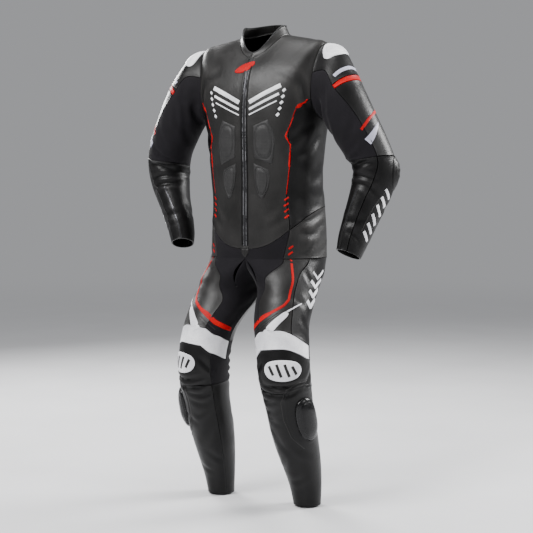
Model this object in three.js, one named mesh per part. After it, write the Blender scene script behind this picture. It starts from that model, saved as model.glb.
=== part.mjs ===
import * as THREE from 'three';

// A one-piece leather race suit, filled out as worn, with nobody in it.
// Millimetres, +Z up. The front faces -Y and the wearer's left is +X.
// The origin is the centre of the neck base, where the wearer's shoulders carry the suit.
//
// The whole suit is one surface: a torso, two sleeves and two legs, each run through a table of
// sections. A grid lies on that surface, its lines follow the seams, and each cut piece is a block
// of the grid's cells, walled inwards.

const WALL = 2.0;
const SEAM_GAP = 0.3;
const LAID_ON_LIFT = 0.9;

// How finely a place on the surface is settled.
const SETTLING_ROUNDS = 6;
const HALVINGS = 40;
const NEARLY_NOTHING = 1e-9;
const SMALL_STEP = 0.02;

const FINISHES = {
  leather: { color: 0x2e2c2b, roughness: 0.5, metalness: 0 },
  stretch: { color: 0x1d1a1f, roughness: 0.9, metalness: 0 },
  white: { color: 0xf0f0f0, roughness: 0.45, metalness: 0 },
  red: { color: 0xe8232a, roughness: 0.45, metalness: 0 },
  pad: { color: 0x3a3a3b, roughness: 0.65, metalness: 0 },
  zip: { color: 0x161616, roughness: 0.6, metalness: 0 },
  slider: { color: 0x101010, roughness: 0.18, metalness: 0 },
};

// Torso sections from the neckline down. A section's height differs at the front, side and back,
// so the upper ones climb over the shoulders. middle is the Y of its side points.
const TORSO = [
  { name: 'neckline', zFront: -20, zSide: 50, zBack: 66,
    half: 73, front: 84, back: 58, middle: 0, square: 2.0 },
  { name: 'collarbone', zFront: -58, zSide: 42, zBack: 46,
    half: 114, front: 108, back: 84, middle: 0, square: 2.1 },
  { name: 'yoke', zFront: -100, zSide: 33, zBack: 12,
    half: 158, front: 122, back: 108, middle: 0, square: 2.2 },
  { name: 'shoulder', zFront: -140, zSide: 18, zBack: -36,
    half: 198, front: 128, back: 124, middle: 0, square: 2.3 },
  { name: 'upper armhole', zFront: -172, zSide: -58, zBack: -90,
    half: 210, front: 130, back: 132, middle: 0, square: 2.3 },
  { name: 'lower armhole', zFront: -205, zSide: -145, zBack: -152,
    half: 202, front: 132, back: 132, middle: 2, square: 2.3 },
  { name: 'chest', zFront: -240, zSide: -228, zBack: -228,
    half: 184, front: 134, back: 124, middle: 4, square: 2.4 },
  { name: 'ribs', zFront: -300, zSide: -300, zBack: -300,
    half: 177, front: 134, back: 108, middle: 6, square: 2.4 },
  { name: 'waist', zFront: -365, zSide: -365, zBack: -365,
    half: 172, front: 136, back: 96, middle: 10, square: 2.4 },
  { name: 'belt', zFront: -435, zSide: -435, zBack: -435,
    half: 171, front: 148, back: 106, middle: 22, square: 2.3 },
  { name: 'hip', zFront: -515, zSide: -515, zBack: -515,
    half: 174, front: 146, back: 128, middle: 20, square: 2.3 },
  { name: 'seat', zFront: -600, zSide: -600, zBack: -592,
    half: 178, front: 136, back: 144, middle: 12, square: 2.2 },
];
const SEAT = TORSO.length - 1;

// The collar's top edge, which dips to a notch at the front.
const COLLAR_TOP = { half: 64, front: 70, back: 56, middle: -8, square: 2, zFront: -4, zSide: 77, zBack: 87 };

// The armhole is an ellipse on the torso between two sections, across this many degrees.
const ARMHOLE = { top: 3, bottom: 5.6, reach: 30, steps: 8 };

// Sleeve sections. out and in are the outermost and innermost points in X and Z, depth is half the
// size from front to back, and tilt raises the front edge, in degrees.
const SLEEVE = [
  { name: 'armhole', outX: 198, outZ: 18, inX: 191, inZ: -196, y: 0, depth: 72, tilt: 0 },
  { name: 'cap', outX: 250, outZ: 1, inX: 207, inZ: -201, y: -4, depth: 80, tilt: 0 },
  { name: 'cap end', outX: 292, outZ: -57, inX: 216, inZ: -210, y: -18, depth: 78, tilt: 0 },
  { name: 'upper arm', outX: 327, outZ: -118, inX: 224, inZ: -225, y: -24, depth: 74, tilt: 0 },
  { name: 'biceps', outX: 360, outZ: -183, inX: 243, inZ: -256, y: -22, depth: 70, tilt: 0 },
  { name: 'lower biceps', outX: 391, outZ: -248, inX: 265, inZ: -292, y: -16, depth: 67, tilt: 0 },
  { name: 'above elbow', outX: 410, outZ: -300, inX: 280, inZ: -322, y: -6, depth: 66, tilt: 4 },
  { name: 'elbow', outX: 416, outZ: -345, inX: 288, inZ: -345, y: 4, depth: 66, tilt: 8 },
  { name: 'below elbow', outX: 404, outZ: -399, inX: 288, inZ: -382, y: 0, depth: 63, tilt: 14 },
  { name: 'forearm', outX: 380, outZ: -449, inX: 281, inZ: -424, y: -12, depth: 59, tilt: 20 },
  { name: 'lower forearm', outX: 353, outZ: -504, inX: 267, inZ: -478, y: -26, depth: 53, tilt: 22 },
  { name: 'wrist', outX: 333, outZ: -549, inX: 255, inZ: -527, y: -40, depth: 46, tilt: 22 },
  { name: 'cuff', outX: 319, outZ: -582, inX: 251, inZ: -566, y: -50, depth: 37, tilt: 22 },
];
const CUFF = SLEEVE.length - 1;
const ELBOW = 7;
const CUFF_SWING = { left: 12, right: -18 };
const CUFF_DROP = { left: 10, right: -8 };

// Leg sections in the same columns. The first is half of the seat, closed by the crotch seam.
const LEG = [
  { name: 'seat', outX: 182, outZ: -600, inX: 0, inZ: -672, y: 22, depth: 140, tilt: 0 },
  { name: 'upper thigh', outX: 182, outZ: -648, inX: 7, inZ: -700, y: -20, depth: 124, tilt: 0 },
  { name: 'thigh', outX: 187, outZ: -696, inX: 15, inZ: -735, y: -56, depth: 104, tilt: 0 },
  { name: 'mid thigh', outX: 193, outZ: -742, inX: 28, inZ: -768, y: -92, depth: 92, tilt: 0 },
  { name: 'lower thigh', outX: 196, outZ: -790, inX: 42, inZ: -805, y: -118, depth: 86, tilt: 0 },
  { name: 'above knee', outX: 204, outZ: -836, inX: 52, inZ: -844, y: -130, depth: 81, tilt: 0 },
  { name: 'knee top', outX: 208, outZ: -884, inX: 59, inZ: -884, y: -135, depth: 81, tilt: 0 },
  { name: 'knee', outX: 210, outZ: -928, inX: 63, inZ: -928, y: -134, depth: 81, tilt: -4 },
  { name: 'below knee', outX: 210, outZ: -973, inX: 68, inZ: -973, y: -125, depth: 76, tilt: -8 },
  { name: 'shin top', outX: 208, outZ: -1028, inX: 74, inZ: -1028, y: -110, depth: 70, tilt: -10 },
  { name: 'calf', outX: 209, outZ: -1088, inX: 76, inZ: -1088, y: -90, depth: 68, tilt: -10 },
  { name: 'lower calf', outX: 207, outZ: -1148, inX: 82, inZ: -1148, y: -68, depth: 64, tilt: -10 },
  { name: 'shin', outX: 203, outZ: -1208, inX: 92, inZ: -1208, y: -46, depth: 56, tilt: -8 },
  { name: 'ankle', outX: 197, outZ: -1268, inX: 102, inZ: -1268, y: -28, depth: 46, tilt: -4 },
  { name: 'hem', outX: 190, outZ: -1328, inX: 110, inZ: -1328, y: -18, depth: 40, tilt: 0 },
];
const CROTCH_DROP = 76;

// Column lines of the torso grid, on each side: distance from the centre line in X where it is
// given at a height, or degrees round the section. The last is the centre of the back.
const ZIP_HALF_WIDTH = 6.5;
const SIDE_FRONT_SEAM = [
  { v: 0, x: 52 },
  { v: 1, x: 88 },
  { v: 2, x: 126 },
  { v: 3, x: 154 },
  { v: 4, x: 168 },
  { v: 5, x: 150 },
  { v: 6, x: 130 },
  { v: 7, x: 134 },
  { v: 8, x: 127 },
  { v: 9, x: 120 },
  { v: 10, x: 128 },
  { v: 11, x: 112 },
];
const SIDE_BACK_SEAM = 118;
const COLUMN = { centre: 0, zip: 1, sideFront: 5, side: 10, sideBack: 12, back: 16 };

// Rows of the torso grid. The waist seam drops towards the zip.
const ROW = { neck: 0, shoulder: 4, underarm: 12, waist: 18, seat: 21 };
const WAIST_SEAM = [
  { angle: 0, v: 10.62 },
  { angle: 15, v: 10.54 },
  { angle: 30, v: 10.32 },
  { angle: 50, v: 9.9 },
  { angle: 70, v: 9.5 },
  { angle: 90, v: 9.25 },
  { angle: 130, v: 9.12 },
  { angle: 180, v: 9.06 },
];

// Rows of the sleeve grid, by section, on the outer side, at the two seams and inside.
const SLEEVE_ROWS = [
  { name: 'armhole', outer: 0, seam: 0, inner: 0 },
  { name: 'cap 1', outer: 0.7, seam: 0.5, inner: 0.7 },
  { name: 'cap 2', outer: 1.4, seam: 1.05, inner: 1.3 },
  { name: 'red band top', outer: 2.32, seam: 1.75, inner: 2.0 },
  { name: 'red band end', outer: 2.58, seam: 2.02, inner: 2.3 },
  { name: 'upper arm 1', outer: 3.15, seam: 2.75, inner: 2.9 },
  { name: 'upper arm 2', outer: 3.7, seam: 3.6, inner: 3.6 },
  { name: 'biceps', outer: 4.5, seam: 4.5, inner: 4.5 },
  { name: 'above elbow', outer: 5.3, seam: 5.4, inner: 5.4 },
  { name: 'elbow top', outer: 6.1, seam: 6.2, inner: 6.2 },
  { name: 'elbow', outer: 7, seam: 7, inner: 7 },
  { name: 'elbow end', outer: 7.9, seam: 7.8, inner: 7.8 },
  { name: 'forearm 1', outer: 8.8, seam: 8.8, inner: 8.8 },
  { name: 'forearm 2', outer: 9.8, seam: 9.8, inner: 9.8 },
  { name: 'forearm 3', outer: 10.7, seam: 10.7, inner: 10.7 },
  { name: 'wrist', outer: 11.4, seam: 11.4, inner: 11.4 },
  { name: 'cuff', outer: 12, seam: 12, inner: 12 },
];
const SLEEVE_COLUMN = { frontSeam: 3, backSeam: 12, count: 16 };

// The sleeve's front seam in degrees from the outer side, and its back seam.
const SLEEVE_SEAMS = [
  { w: 0, front: 67.5, back: 270 },
  { w: 2, front: 72, back: 266 },
  { w: 4, front: 54, back: 262 },
  { w: 6, front: 52, back: 262 },
  { w: 8, front: 64, back: 262 },
  { w: 10, front: 70, back: 265 },
  { w: 12, front: 72, back: 268 },
];

// Seam lines of the leg, in degrees from the outer side towards the front, at chosen sections.
const LEG_SEAMS = [
  { w: 0, sideFront: 53, centre: 90, inseam: 180, back: 270, sideBack: 332, side: 360 },
  { w: 1, sideFront: 102, centre: 132, inseam: 180, back: 252, sideBack: 318, side: 358 },
  { w: 2, sideFront: 117, centre: 144, inseam: 180, back: 240, sideBack: 306, side: 354 },
  { w: 4, sideFront: 112, centre: 139, inseam: 180, back: 234, sideBack: 298, side: 350 },
  { w: 6, sideFront: 112, centre: 138, inseam: 180, back: 232, sideBack: 292, side: 346 },
  { w: 9, sideFront: 118, centre: 142, inseam: 182, back: 230, sideBack: 288, side: 344 },
  { w: 14, sideFront: 120, centre: 142, inseam: 182, back: 230, sideBack: 288, side: 344 },
];

// Rows of the leg grid, by section, at five of its columns. The knee band arches over the kneecap.
const LEG_ROWS = [
  { name: 'seat', centre: 0, kneecap: 0, side: 0, back: 0, inseam: 0 },
  { name: 'thigh 1', centre: 0.8, kneecap: 0.8, side: 0.8, back: 0.8, inseam: 0.8 },
  { name: 'thigh 2', centre: 1.6, kneecap: 1.6, side: 1.6, back: 1.6, inseam: 1.6 },
  { name: 'thigh 3', centre: 2.5, kneecap: 2.4, side: 2.65, back: 2.6, inseam: 2.6 },
  { name: 'thigh 4', centre: 3.5, kneecap: 3.2, side: 3.85, back: 3.8, inseam: 3.75 },
  { name: 'knee band top', centre: 4.48, kneecap: 4.0, side: 5.1, back: 5.1, inseam: 5.0 },
  { name: 'knee band middle', centre: 5.12, kneecap: 4.6, side: 5.52, back: 5.6, inseam: 5.65 },
  { name: 'knee band end', centre: 5.8, kneecap: 5.18, side: 5.95, back: 6.1, inseam: 6.3 },
  { name: 'knee 1', centre: 6.4, kneecap: 6.1, side: 6.5, back: 6.6, inseam: 6.8 },
  { name: 'knee 2', centre: 7.1, kneecap: 7.0, side: 7.1, back: 7.2, inseam: 7.3 },
  { name: 'knee end', centre: 7.8, kneecap: 7.8, side: 7.8, back: 7.8, inseam: 7.8 },
  { name: 'shin 1', centre: 8.7, kneecap: 8.7, side: 8.7, back: 8.7, inseam: 8.7 },
  { name: 'shin 2', centre: 9.7, kneecap: 9.7, side: 9.7, back: 9.7, inseam: 9.7 },
  { name: 'shin 3', centre: 10.8, kneecap: 10.8, side: 10.8, back: 10.8, inseam: 10.8 },
  { name: 'shin 4', centre: 11.9, kneecap: 11.9, side: 11.9, back: 11.9, inseam: 11.9 },
  { name: 'ankle', centre: 13, kneecap: 13, side: 13, back: 13, inseam: 13 },
  { name: 'hem', centre: 14, kneecap: 14, side: 14, back: 14, inseam: 14 },
];
const LEG_COLUMN = { sideFront: 5, kneecap: 7, side: 10, sideBack: 12, back: 16, inseam: 20, count: 24 };

// Cut pieces as blocks of grid cells: first and last column, first and last row.
const TORSO_PIECES = [
  { piece: 'collar', finish: 'leather', grid: 'collar', columns: [0, 16], rows: [0, 2] },
  { piece: 'zip_strip', finish: 'zip', grid: 'front', columns: [0, 1], rows: [0, 18], shared: true },
  { piece: 'front', finish: 'leather', grid: 'front', columns: [1, 5], rows: [0, 18] },
  { piece: 'front', finish: 'leather', grid: 'front', columns: [5, 10], rows: [0, 9] },
  { piece: 'side', finish: 'leather', grid: 'front', columns: [5, 10], rows: [9, 18] },
  { piece: 'side', finish: 'leather', grid: 'rear', columns: [10, 12], rows: [12, 18] },
  { piece: 'back', finish: 'leather', grid: 'rear', columns: [10, 16], rows: [0, 12] },
  { piece: 'back', finish: 'leather', grid: 'rear', columns: [12, 16], rows: [12, 15] },
  { piece: 'lumbar_stretch', finish: 'stretch', grid: 'rear', columns: [12, 16],
    rows: [15, 18], shared: true },
  { piece: 'hip', finish: 'leather', grid: 'front', columns: [5, 10], rows: [18, 21] },
  { piece: 'hip', finish: 'leather', grid: 'rear', columns: [10, 12], rows: [18, 21] },
  { piece: 'crotch_stretch', finish: 'stretch', grid: 'front', columns: [0, 5], rows: [18, 21] },
  { piece: 'seat', finish: 'leather', grid: 'rear', columns: [12, 16], rows: [18, 21] },
];
const LEG_PIECES = [
  { piece: 'crotch_stretch', finish: 'stretch', grid: 'leg', columns: [0, 5], rows: [0, 5] },
  { piece: 'crotch_stretch', finish: 'stretch', grid: 'leg', columns: [20, 24], rows: [0, 5] },
  { piece: 'seat', finish: 'leather', grid: 'leg', columns: [12, 20], rows: [0, 5] },
  { piece: 'thigh_front', finish: 'leather', grid: 'leg', columns: [5, 8], rows: [0, 5] },
  { piece: 'thigh_outer', finish: 'leather', grid: 'leg', columns: [8, 12], rows: [0, 5] },
  { piece: 'thigh_outer', finish: 'leather', grid: 'leg', columns: [10, 12], rows: [5, 7] },
  { piece: 'knee_band', finish: 'white', grid: 'leg', columns: [0, 10], rows: [5, 7] },
  { piece: 'knee_band', finish: 'white', grid: 'leg', columns: [20, 24], rows: [5, 7] },
  { piece: 'knee_front', finish: 'leather', grid: 'leg', columns: [0, 12], rows: [7, 10] },
  { piece: 'knee_back', finish: 'stretch', grid: 'leg', columns: [12, 20], rows: [5, 7] },
  { piece: 'knee_back', finish: 'stretch', grid: 'leg', columns: [12, 24], rows: [7, 10] },
  { piece: 'shin_front', finish: 'leather', grid: 'leg', columns: [0, 12], rows: [10, 16] },
  { piece: 'calf', finish: 'leather', grid: 'leg', columns: [12, 24], rows: [10, 16] },
];
const SLEEVE_PIECES = [
  { piece: 'sleeve_cap', finish: 'leather', grid: 'sleeve', columns: [12, 19], rows: [0, 3] },
  { piece: 'sleeve_red_band', finish: 'red', grid: 'sleeve', columns: [12, 19], rows: [3, 4] },
  { piece: 'sleeve_outer', finish: 'leather', grid: 'sleeve', columns: [12, 19], rows: [4, 9] },
  { piece: 'sleeve_stretch', finish: 'stretch', grid: 'sleeve', columns: [3, 12], rows: [0, 9] },
  { piece: 'forearm_outer', finish: 'leather', grid: 'sleeve', columns: [12, 19], rows: [9, 16] },
  { piece: 'forearm_inner', finish: 'leather', grid: 'sleeve', columns: [3, 12], rows: [9, 16] },
];

// Pieces laid on the torso's front, as rungs between two edges, each end given in X and Z.
const PAD_RUNGS = {
  upper: [
    { fromX: 30, fromZ: -218, toX: 76, toZ: -200 },
    { fromX: 30, fromZ: -246, toX: 93, toZ: -244 },
    { fromX: 31, fromZ: -278, toX: 92, toZ: -290 },
    { fromX: 33, fromZ: -308, toX: 85, toZ: -328 },
  ],
  lower: [
    { fromX: 30, fromZ: -325, toX: 75, toZ: -343 },
    { fromX: 31, fromZ: -355, toX: 78, toZ: -367 },
    { fromX: 36, fromZ: -390, toX: 72, toZ: -397 },
    { fromX: 46, fromZ: -421, toX: 57, toZ: -426 },
  ],
};
const PAD_FORM = { edge: 1.5, rise: 3.5, crown: 4, cells: [6, 5] };
const THROAT_PATCH_RUNGS = [
  { fromX: -44, fromZ: -57, toX: -42, toZ: -63 },
  { fromX: -28, fromZ: -43, toX: -22, toZ: -64 },
  { fromX: -4, fromZ: -33, toX: 2, toZ: -56 },
  { fromX: 15, fromZ: -31, toX: 17, toZ: -40 },
];
const ZIP_TAB_RUNGS = [
  { fromX: -13, fromZ: -564, toX: -12, toZ: -583 },
  { fromX: 0, fromZ: -564, toX: 0, toZ: -596 },
  { fromX: 13, fromZ: -564, toX: 12, toZ: -583 },
];
const PATCH_FORM = { edge: 1.5, rise: 0.6, crown: 4, cells: [4, 4] };

// Pieces laid on a sleeve or leg: the middle and half the size, in degrees round the limb and in
// sections down it. corner is 0 for square corners and 1 for an ellipse.
const LAID_ON_LIMBS = [
  { piece: 'shoulder_cup', finish: 'white', limb: 'sleeve', angle: 4, span: 46, w: 0.77, reach: 0.56,
    corner: 1.1, form: { edge: 1.6, rise: 3.5, crown: 2.5, cells: [10, 8] } },
  { piece: 'elbow_cup', finish: 'leather', limb: 'sleeve', angle: -30, span: 42, w: 7, reach: 0.95,
    corner: 0.9, form: { edge: 1.6, rise: 6, crown: 2.5, cells: [6, 6] } },
  { piece: 'knee_patch', finish: 'white', limb: 'leg', angle: 61, span: 43, w: 6.44, reach: 0.62,
    corner: 0.6, form: { edge: 1.5, rise: 0.6, crown: 4, cells: [8, 4] } },
  { piece: 'slider_base', finish: 'leather', limb: 'leg', angle: 22, span: 48, w: 9, reach: 1.6,
    corner: 0.8, form: { edge: 1.6, rise: 0, crown: 4, cells: [8, 8] } },
  { piece: 'knee_slider', finish: 'slider', limb: 'leg', angle: 18, span: 30, w: 9.3, reach: 1.1,
    corner: 0.85, form: { edge: 4, rise: 15, crown: 2.5, cells: [8, 8] }, above: 2.6 },
];

const radians = THREE.MathUtils.degToRad;
const lerp = THREE.MathUtils.lerp;

// A smooth curve from b to c, with a before them and d after; share runs from 0 to 1.
function smoothBetween(a, b, c, d, share) {
  const slopeIn = (c - a) / 2;
  const slopeOut = (d - b) / 2;
  const bend = 3 * (c - b) - 2 * slopeIn - slopeOut;
  const twist = slopeIn + slopeOut - 2 * (c - b);
  return b + share * (slopeIn + share * (bend + share * twist));
}

// A column of a table as a smooth curve through its rows; key is the column that says where a row is.
function curveThrough(table, column, at, key) {
  const place = (index) => (key ? table[index][key] : index);
  let start = 0;
  while (start < table.length - 2 && at > place(start + 1)) start += 1;
  const share = (at - place(start)) / (place(start + 1) - place(start));
  const value = (index) => table[THREE.MathUtils.clamp(index, 0, table.length - 1)][column];
  return smoothBetween(value(start - 1), value(start), value(start + 1), value(start + 2), share);
}

// A point on a torso section. angle is 0 at the front, 90 at the wearer's left, 180 at the back.
function sectionPoint(section, angle) {
  const sine = Math.sin(radians(angle));
  const cosine = Math.cos(radians(angle));
  const power = 2 / section.square;
  const side = Math.abs(sine) < NEARLY_NOTHING ? 0 : Math.abs(sine) ** power * Math.sign(sine);
  const along = Math.abs(cosine) < NEARLY_NOTHING ? 0 : Math.abs(cosine) ** power;
  const depth = cosine > 0 ? -section.front : section.back;
  const zEnd = cosine > 0 ? section.zFront : section.zBack;
  const z = lerp(zEnd, section.zSide, sine * sine);
  return new THREE.Vector3(section.half * side, section.middle + depth * along, z);
}

function torsoSection(v) {
  const section = {};
  for (const column of Object.keys(TORSO[0])) {
    if (column !== 'name') section[column] = curveThrough(TORSO, column, v);
  }
  return section;
}

const torsoPoint = (angle, v) => sectionPoint(torsoSection(v), angle);

// The angle at which a torso section lies x from the centre line, towards the front.
function angleAcross(x, v) {
  const section = torsoSection(v);
  const sine = (x / section.half) ** (section.square / 2);
  return THREE.MathUtils.radToDeg(Math.asin(Math.min(sine, 1)));
}

function collarPoint(angle, height) {
  const foot = torsoPoint(angle, 0);
  const top = sectionPoint(COLLAR_TOP, angle);
  return foot.lerp(top, height);
}

// A point on the armhole's edge. turn is 0 at the shoulder, 90 at the front and 180 under the arm.
function armholePoint(turn) {
  const middle = (ARMHOLE.top + ARMHOLE.bottom) / 2;
  const radius = (ARMHOLE.bottom - ARMHOLE.top) / 2;
  const v = middle - radius * Math.cos(radians(turn));
  return torsoPoint(90 - ARMHOLE.reach * Math.sin(radians(turn)), v);
}

// The seat's edge, for a leg: half of the torso's last section and the crotch seam.
function legOpeningPoint(angle) {
  const turn = ((angle % 360) + 360) % 360;
  if (turn <= 90 || turn >= 270) return torsoPoint(90 - (turn > 180 ? turn - 360 : turn), SEAT);
  const along = radians(turn - 90);
  const point = torsoPoint(0, SEAT).lerp(torsoPoint(180, SEAT), (1 - Math.cos(along)) / 2);
  point.z -= CROTCH_DROP * Math.sin(along);
  return point;
}

// A ring of a sleeve or leg. angle is 0 on the outer side, 90 at the front, 180 inside.
function ringPoint(row, angle) {
  const cosine = Math.cos(radians(angle));
  const sine = Math.sin(radians(angle));
  const tilt = radians(row.tilt);
  const x = (row.outX + row.inX) / 2 + ((row.outX - row.inX) / 2) * cosine;
  const z = (row.outZ + row.inZ) / 2 + ((row.outZ - row.inZ) / 2) * cosine;
  const front = row.depth * sine;
  return new THREE.Vector3(x, row.y - front * Math.cos(tilt), z + front * Math.sin(tilt));
}

// A limb's surface: its first ring is the opening it is sewn to, and a smooth curve runs down it.
function limbPoint(table, opening, angle, w) {
  const last = table.length - 1;
  const ring = (index) => (index <= 0 ? opening(angle) : ringPoint(table[Math.min(index, last)], angle));
  const start = Math.min(Math.floor(w), last - 1);
  const rings = [ring(start - 1), ring(start), ring(start + 1), ring(start + 2)];
  const along = (axis) => smoothBetween(...rings.map((point) => point[axis]), w - start);
  return new THREE.Vector3(along('x'), along('y'), along('z'));
}

function sleevePoint(angle, w, side) {
  const point = limbPoint(SLEEVE, armholePoint, angle, w);
  const share = Math.max(0, (w - ELBOW) / (CUFF - ELBOW));
  const bend = share * share * (3 - 2 * share);
  point.x += CUFF_SWING[side] * bend;
  point.z -= CUFF_DROP[side] * bend;
  return point;
}

const legPoint = (angle, w) => limbPoint(LEG, legOpeningPoint, angle, w);

// Where the grids' lines lie.
function torsoRowPlace(row, angle) {
  if (row <= ROW.shoulder) return (ARMHOLE.top * row) / ROW.shoulder;
  if (row <= ROW.underarm) {
    const turn = (180 * (row - ROW.shoulder)) / ARMHOLE.steps;
    const middle = (ARMHOLE.top + ARMHOLE.bottom) / 2;
    return middle - ((ARMHOLE.bottom - ARMHOLE.top) / 2) * Math.cos(radians(turn));
  }
  const waist = curveThrough(WAIST_SEAM, 'v', angle, 'angle');
  if (row <= ROW.waist) return lerp(ARMHOLE.bottom, waist, (row - ROW.underarm) / (ROW.waist - ROW.underarm));
  return lerp(waist, SEAT, (row - ROW.waist) / (ROW.seat - ROW.waist));
}

function armholeReach(row) {
  if (row <= ROW.shoulder || row >= ROW.underarm) return 0;
  return ARMHOLE.reach * Math.sin(radians((180 * (row - ROW.shoulder)) / ARMHOLE.steps));
}

function columnLine(column, v, row, rear) {
  const zip = angleAcross(ZIP_HALF_WIDTH, v);
  const sideFront = angleAcross(curveThrough(SIDE_FRONT_SEAM, 'x', v, 'v'), v);
  const reach = armholeReach(row);
  const side = rear ? 90 + reach : 90 - reach;
  const { centre, zip: zipColumn, sideFront: frontColumn, side: sideColumn, sideBack, back } = COLUMN;
  const between = (from, to, a, b) => lerp(a, b, (column - from) / (to - from));
  if (column <= zipColumn) return between(centre, zipColumn, 0, zip);
  if (column <= frontColumn) return between(zipColumn, frontColumn, zip, sideFront);
  if (column <= sideColumn && !rear) return between(frontColumn, sideColumn, sideFront, side);
  const rearSeam = Math.max(SIDE_BACK_SEAM, side + (180 - side) / 3);
  if (column <= sideBack) return between(sideColumn, sideBack, side, rearSeam);
  return between(sideBack, back, rearSeam, 180);
}

// The angle and section of a torso grid point. The waist seam's height depends on the angle, so
// the two are settled together in a few rounds.
function torsoGridPlace(column, row, rear) {
  let angle = (180 * column) / COLUMN.back;
  let v = torsoRowPlace(row, angle);
  for (let round = 0; round < SETTLING_ROUNDS; round += 1) {
    angle = columnLine(column, v, row, rear);
    v = torsoRowPlace(row, angle);
  }
  return { angle, v };
}

function torsoGridPoint(column, row, rear) {
  const { angle, v } = torsoGridPlace(column, row, rear);
  return torsoPoint(angle, v);
}

function collarGridPoint(column, row) {
  const { angle } = torsoGridPlace(column, ROW.neck, column > COLUMN.side);
  return collarPoint(angle, (2 - row) / 2);
}

function sleeveGridPoint(column, row, side) {
  const { frontSeam, backSeam, count } = SLEEVE_COLUMN;
  const rows = SLEEVE_ROWS[row];
  const turn = (column * 360) / count;
  const towardsSeam = 1 - Math.abs(Math.cos(radians(turn)));
  const straight = Math.cos(radians(turn)) > 0 ? rows.outer : rows.inner;
  const w = lerp(straight, rows.seam, towardsSeam);
  const front = curveThrough(SLEEVE_SEAMS, 'front', w, 'w');
  const back = curveThrough(SLEEVE_SEAMS, 'back', w, 'w');
  const place = column % count;
  const outerCount = frontSeam + count - backSeam;
  let angle = 0;
  if (w === 0) angle = turn;
  else if (place <= frontSeam) angle = lerp(back - 360, front, (place + count - backSeam) / outerCount);
  else if (place <= backSeam) angle = lerp(front, back, (place - frontSeam) / (backSeam - frontSeam));
  else angle = lerp(back, front + 360, (place - backSeam) / outerCount);
  return sleevePoint(angle, w, side);
}

// The section at which a row of the leg grid lies on a column.
function legRowPlace(row, column) {
  const { kneecap, side, back, inseam, count } = LEG_COLUMN;
  const line = LEG_ROWS[row];
  const stops = [
    { column: 0, w: line.centre },
    { column: kneecap, w: line.kneecap },
    { column: side, w: line.side },
    { column: back, w: line.back },
    { column: inseam, w: line.inseam },
    { column: count, w: line.centre },
  ];
  return curveThrough(stops, 'w', column, 'column');
}

function legGridPoint(column, row) {
  const { sideFront, side, sideBack, back, inseam, count } = LEG_COLUMN;
  const place = column % count;
  const w = legRowPlace(row, place);
  if (w === 0 && place <= back) return torsoGridPoint(place, ROW.seat, place > COLUMN.side);
  const line = (name) => curveThrough(LEG_SEAMS, name, w, 'w');
  const between = (from, to, a, b) => lerp(a, b, (place - from) / (to - from));
  let angle = 0;
  if (place <= sideFront) angle = between(0, sideFront, line('centre'), line('sideFront'));
  else if (place <= side) angle = between(sideFront, side, line('sideFront'), line('side') - 360);
  else if (place <= sideBack) angle = between(side, sideBack, line('side'), line('sideBack'));
  else if (place <= back) angle = between(sideBack, back, line('sideBack'), line('back'));
  else if (place <= inseam) angle = between(back, inseam, line('back'), line('inseam'));
  else angle = between(inseam, count, line('inseam'), line('centre'));
  return legPoint(angle, w);
}

const GRIDS = {
  collar: (column, row) => collarGridPoint(column, row),
  front: (column, row) => torsoGridPoint(column, row, false),
  rear: (column, row) => torsoGridPoint(column, row, true),
  sleeve: (column, row, side) => sleeveGridPoint(column, row, side),
  leg: (column, row) => legGridPoint(column, row),
};

// Points of the whole suit surface, each kept once, so that neighbours share their seam's points.
const points = [];
const pointIndex = new Map();
function keepPoint(point) {
  const key = point.toArray().map((value) => Math.round(value * 1000)).join(' ');
  if (!pointIndex.has(key)) {
    pointIndex.set(key, points.length);
    points.push(point);
  }
  return pointIndex.get(key);
}

// Cells of every piece, each with its corners in order, anticlockwise from outside.
const pieces = new Map();
function addBlock(block, side) {
  const mirrored = side === 'right';
  const name = block.shared ? block.piece : `${block.piece}_${side}`;
  if (!pieces.has(name)) pieces.set(name, { finish: block.finish, cells: [] });
  const corner = (column, row) => {
    const point = GRIDS[block.grid](column, row, side).clone();
    if (mirrored) point.x = -point.x;
    return keepPoint(point);
  };
  for (let column = block.columns[0]; column < block.columns[1]; column += 1) {
    for (let row = block.rows[0]; row < block.rows[1]; row += 1) {
      const near = [corner(column, row), corner(column, row + 1)];
      const far = [corner(column + 1, row + 1), corner(column + 1, row)];
      const cell = [...near, ...far];
      const runsBack = (block.grid === 'sleeve') !== mirrored;
      pieces.get(name).cells.push(runsBack ? cell.reverse() : cell);
    }
  }
}

for (const side of ['left', 'right']) {
  for (const block of [...TORSO_PIECES, ...SLEEVE_PIECES, ...LEG_PIECES]) addBlock(block, side);
}

// Outward normal at every point, from all the cells that meet there.
const normals = points.map(() => new THREE.Vector3());
for (const { cells } of pieces.values()) {
  for (const cell of cells) {
    const [a, b, c, d] = cell.map((index) => points[index]);
    const face = c.clone().sub(a).cross(d.clone().sub(b)).normalize();
    for (const index of cell) normals[index].add(face);
  }
}
for (const normal of normals) normal.normalize();

// How far a piece's edge point is drawn in from its seam.
function seamShift(index, cells) {
  const shift = new THREE.Vector3();
  for (const cell of cells) {
    const place = cell.indexOf(index);
    for (const step of [1, 3]) {
      const neighbour = points[cell[(place + step) % 4]];
      shift.add(neighbour.clone().sub(points[index]).normalize());
    }
  }
  const straightEdge = cells.length === 2;
  return shift.multiplyScalar((SEAM_GAP / 2) / (straightEdge ? 2 : 1));
}

function meshOf(name, finish, vertices, faces) {
  const geometry = new THREE.BufferGeometry();
  const numbers = vertices.flatMap((vertex) => vertex.toArray());
  geometry.setAttribute('position', new THREE.Float32BufferAttribute(numbers, 3));
  geometry.setIndex(faces.flat());
  geometry.computeVertexNormals();
  const mesh = new THREE.Mesh(geometry, new THREE.MeshStandardMaterial(FINISHES[finish]));
  mesh.name = name;
  return mesh;
}

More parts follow.
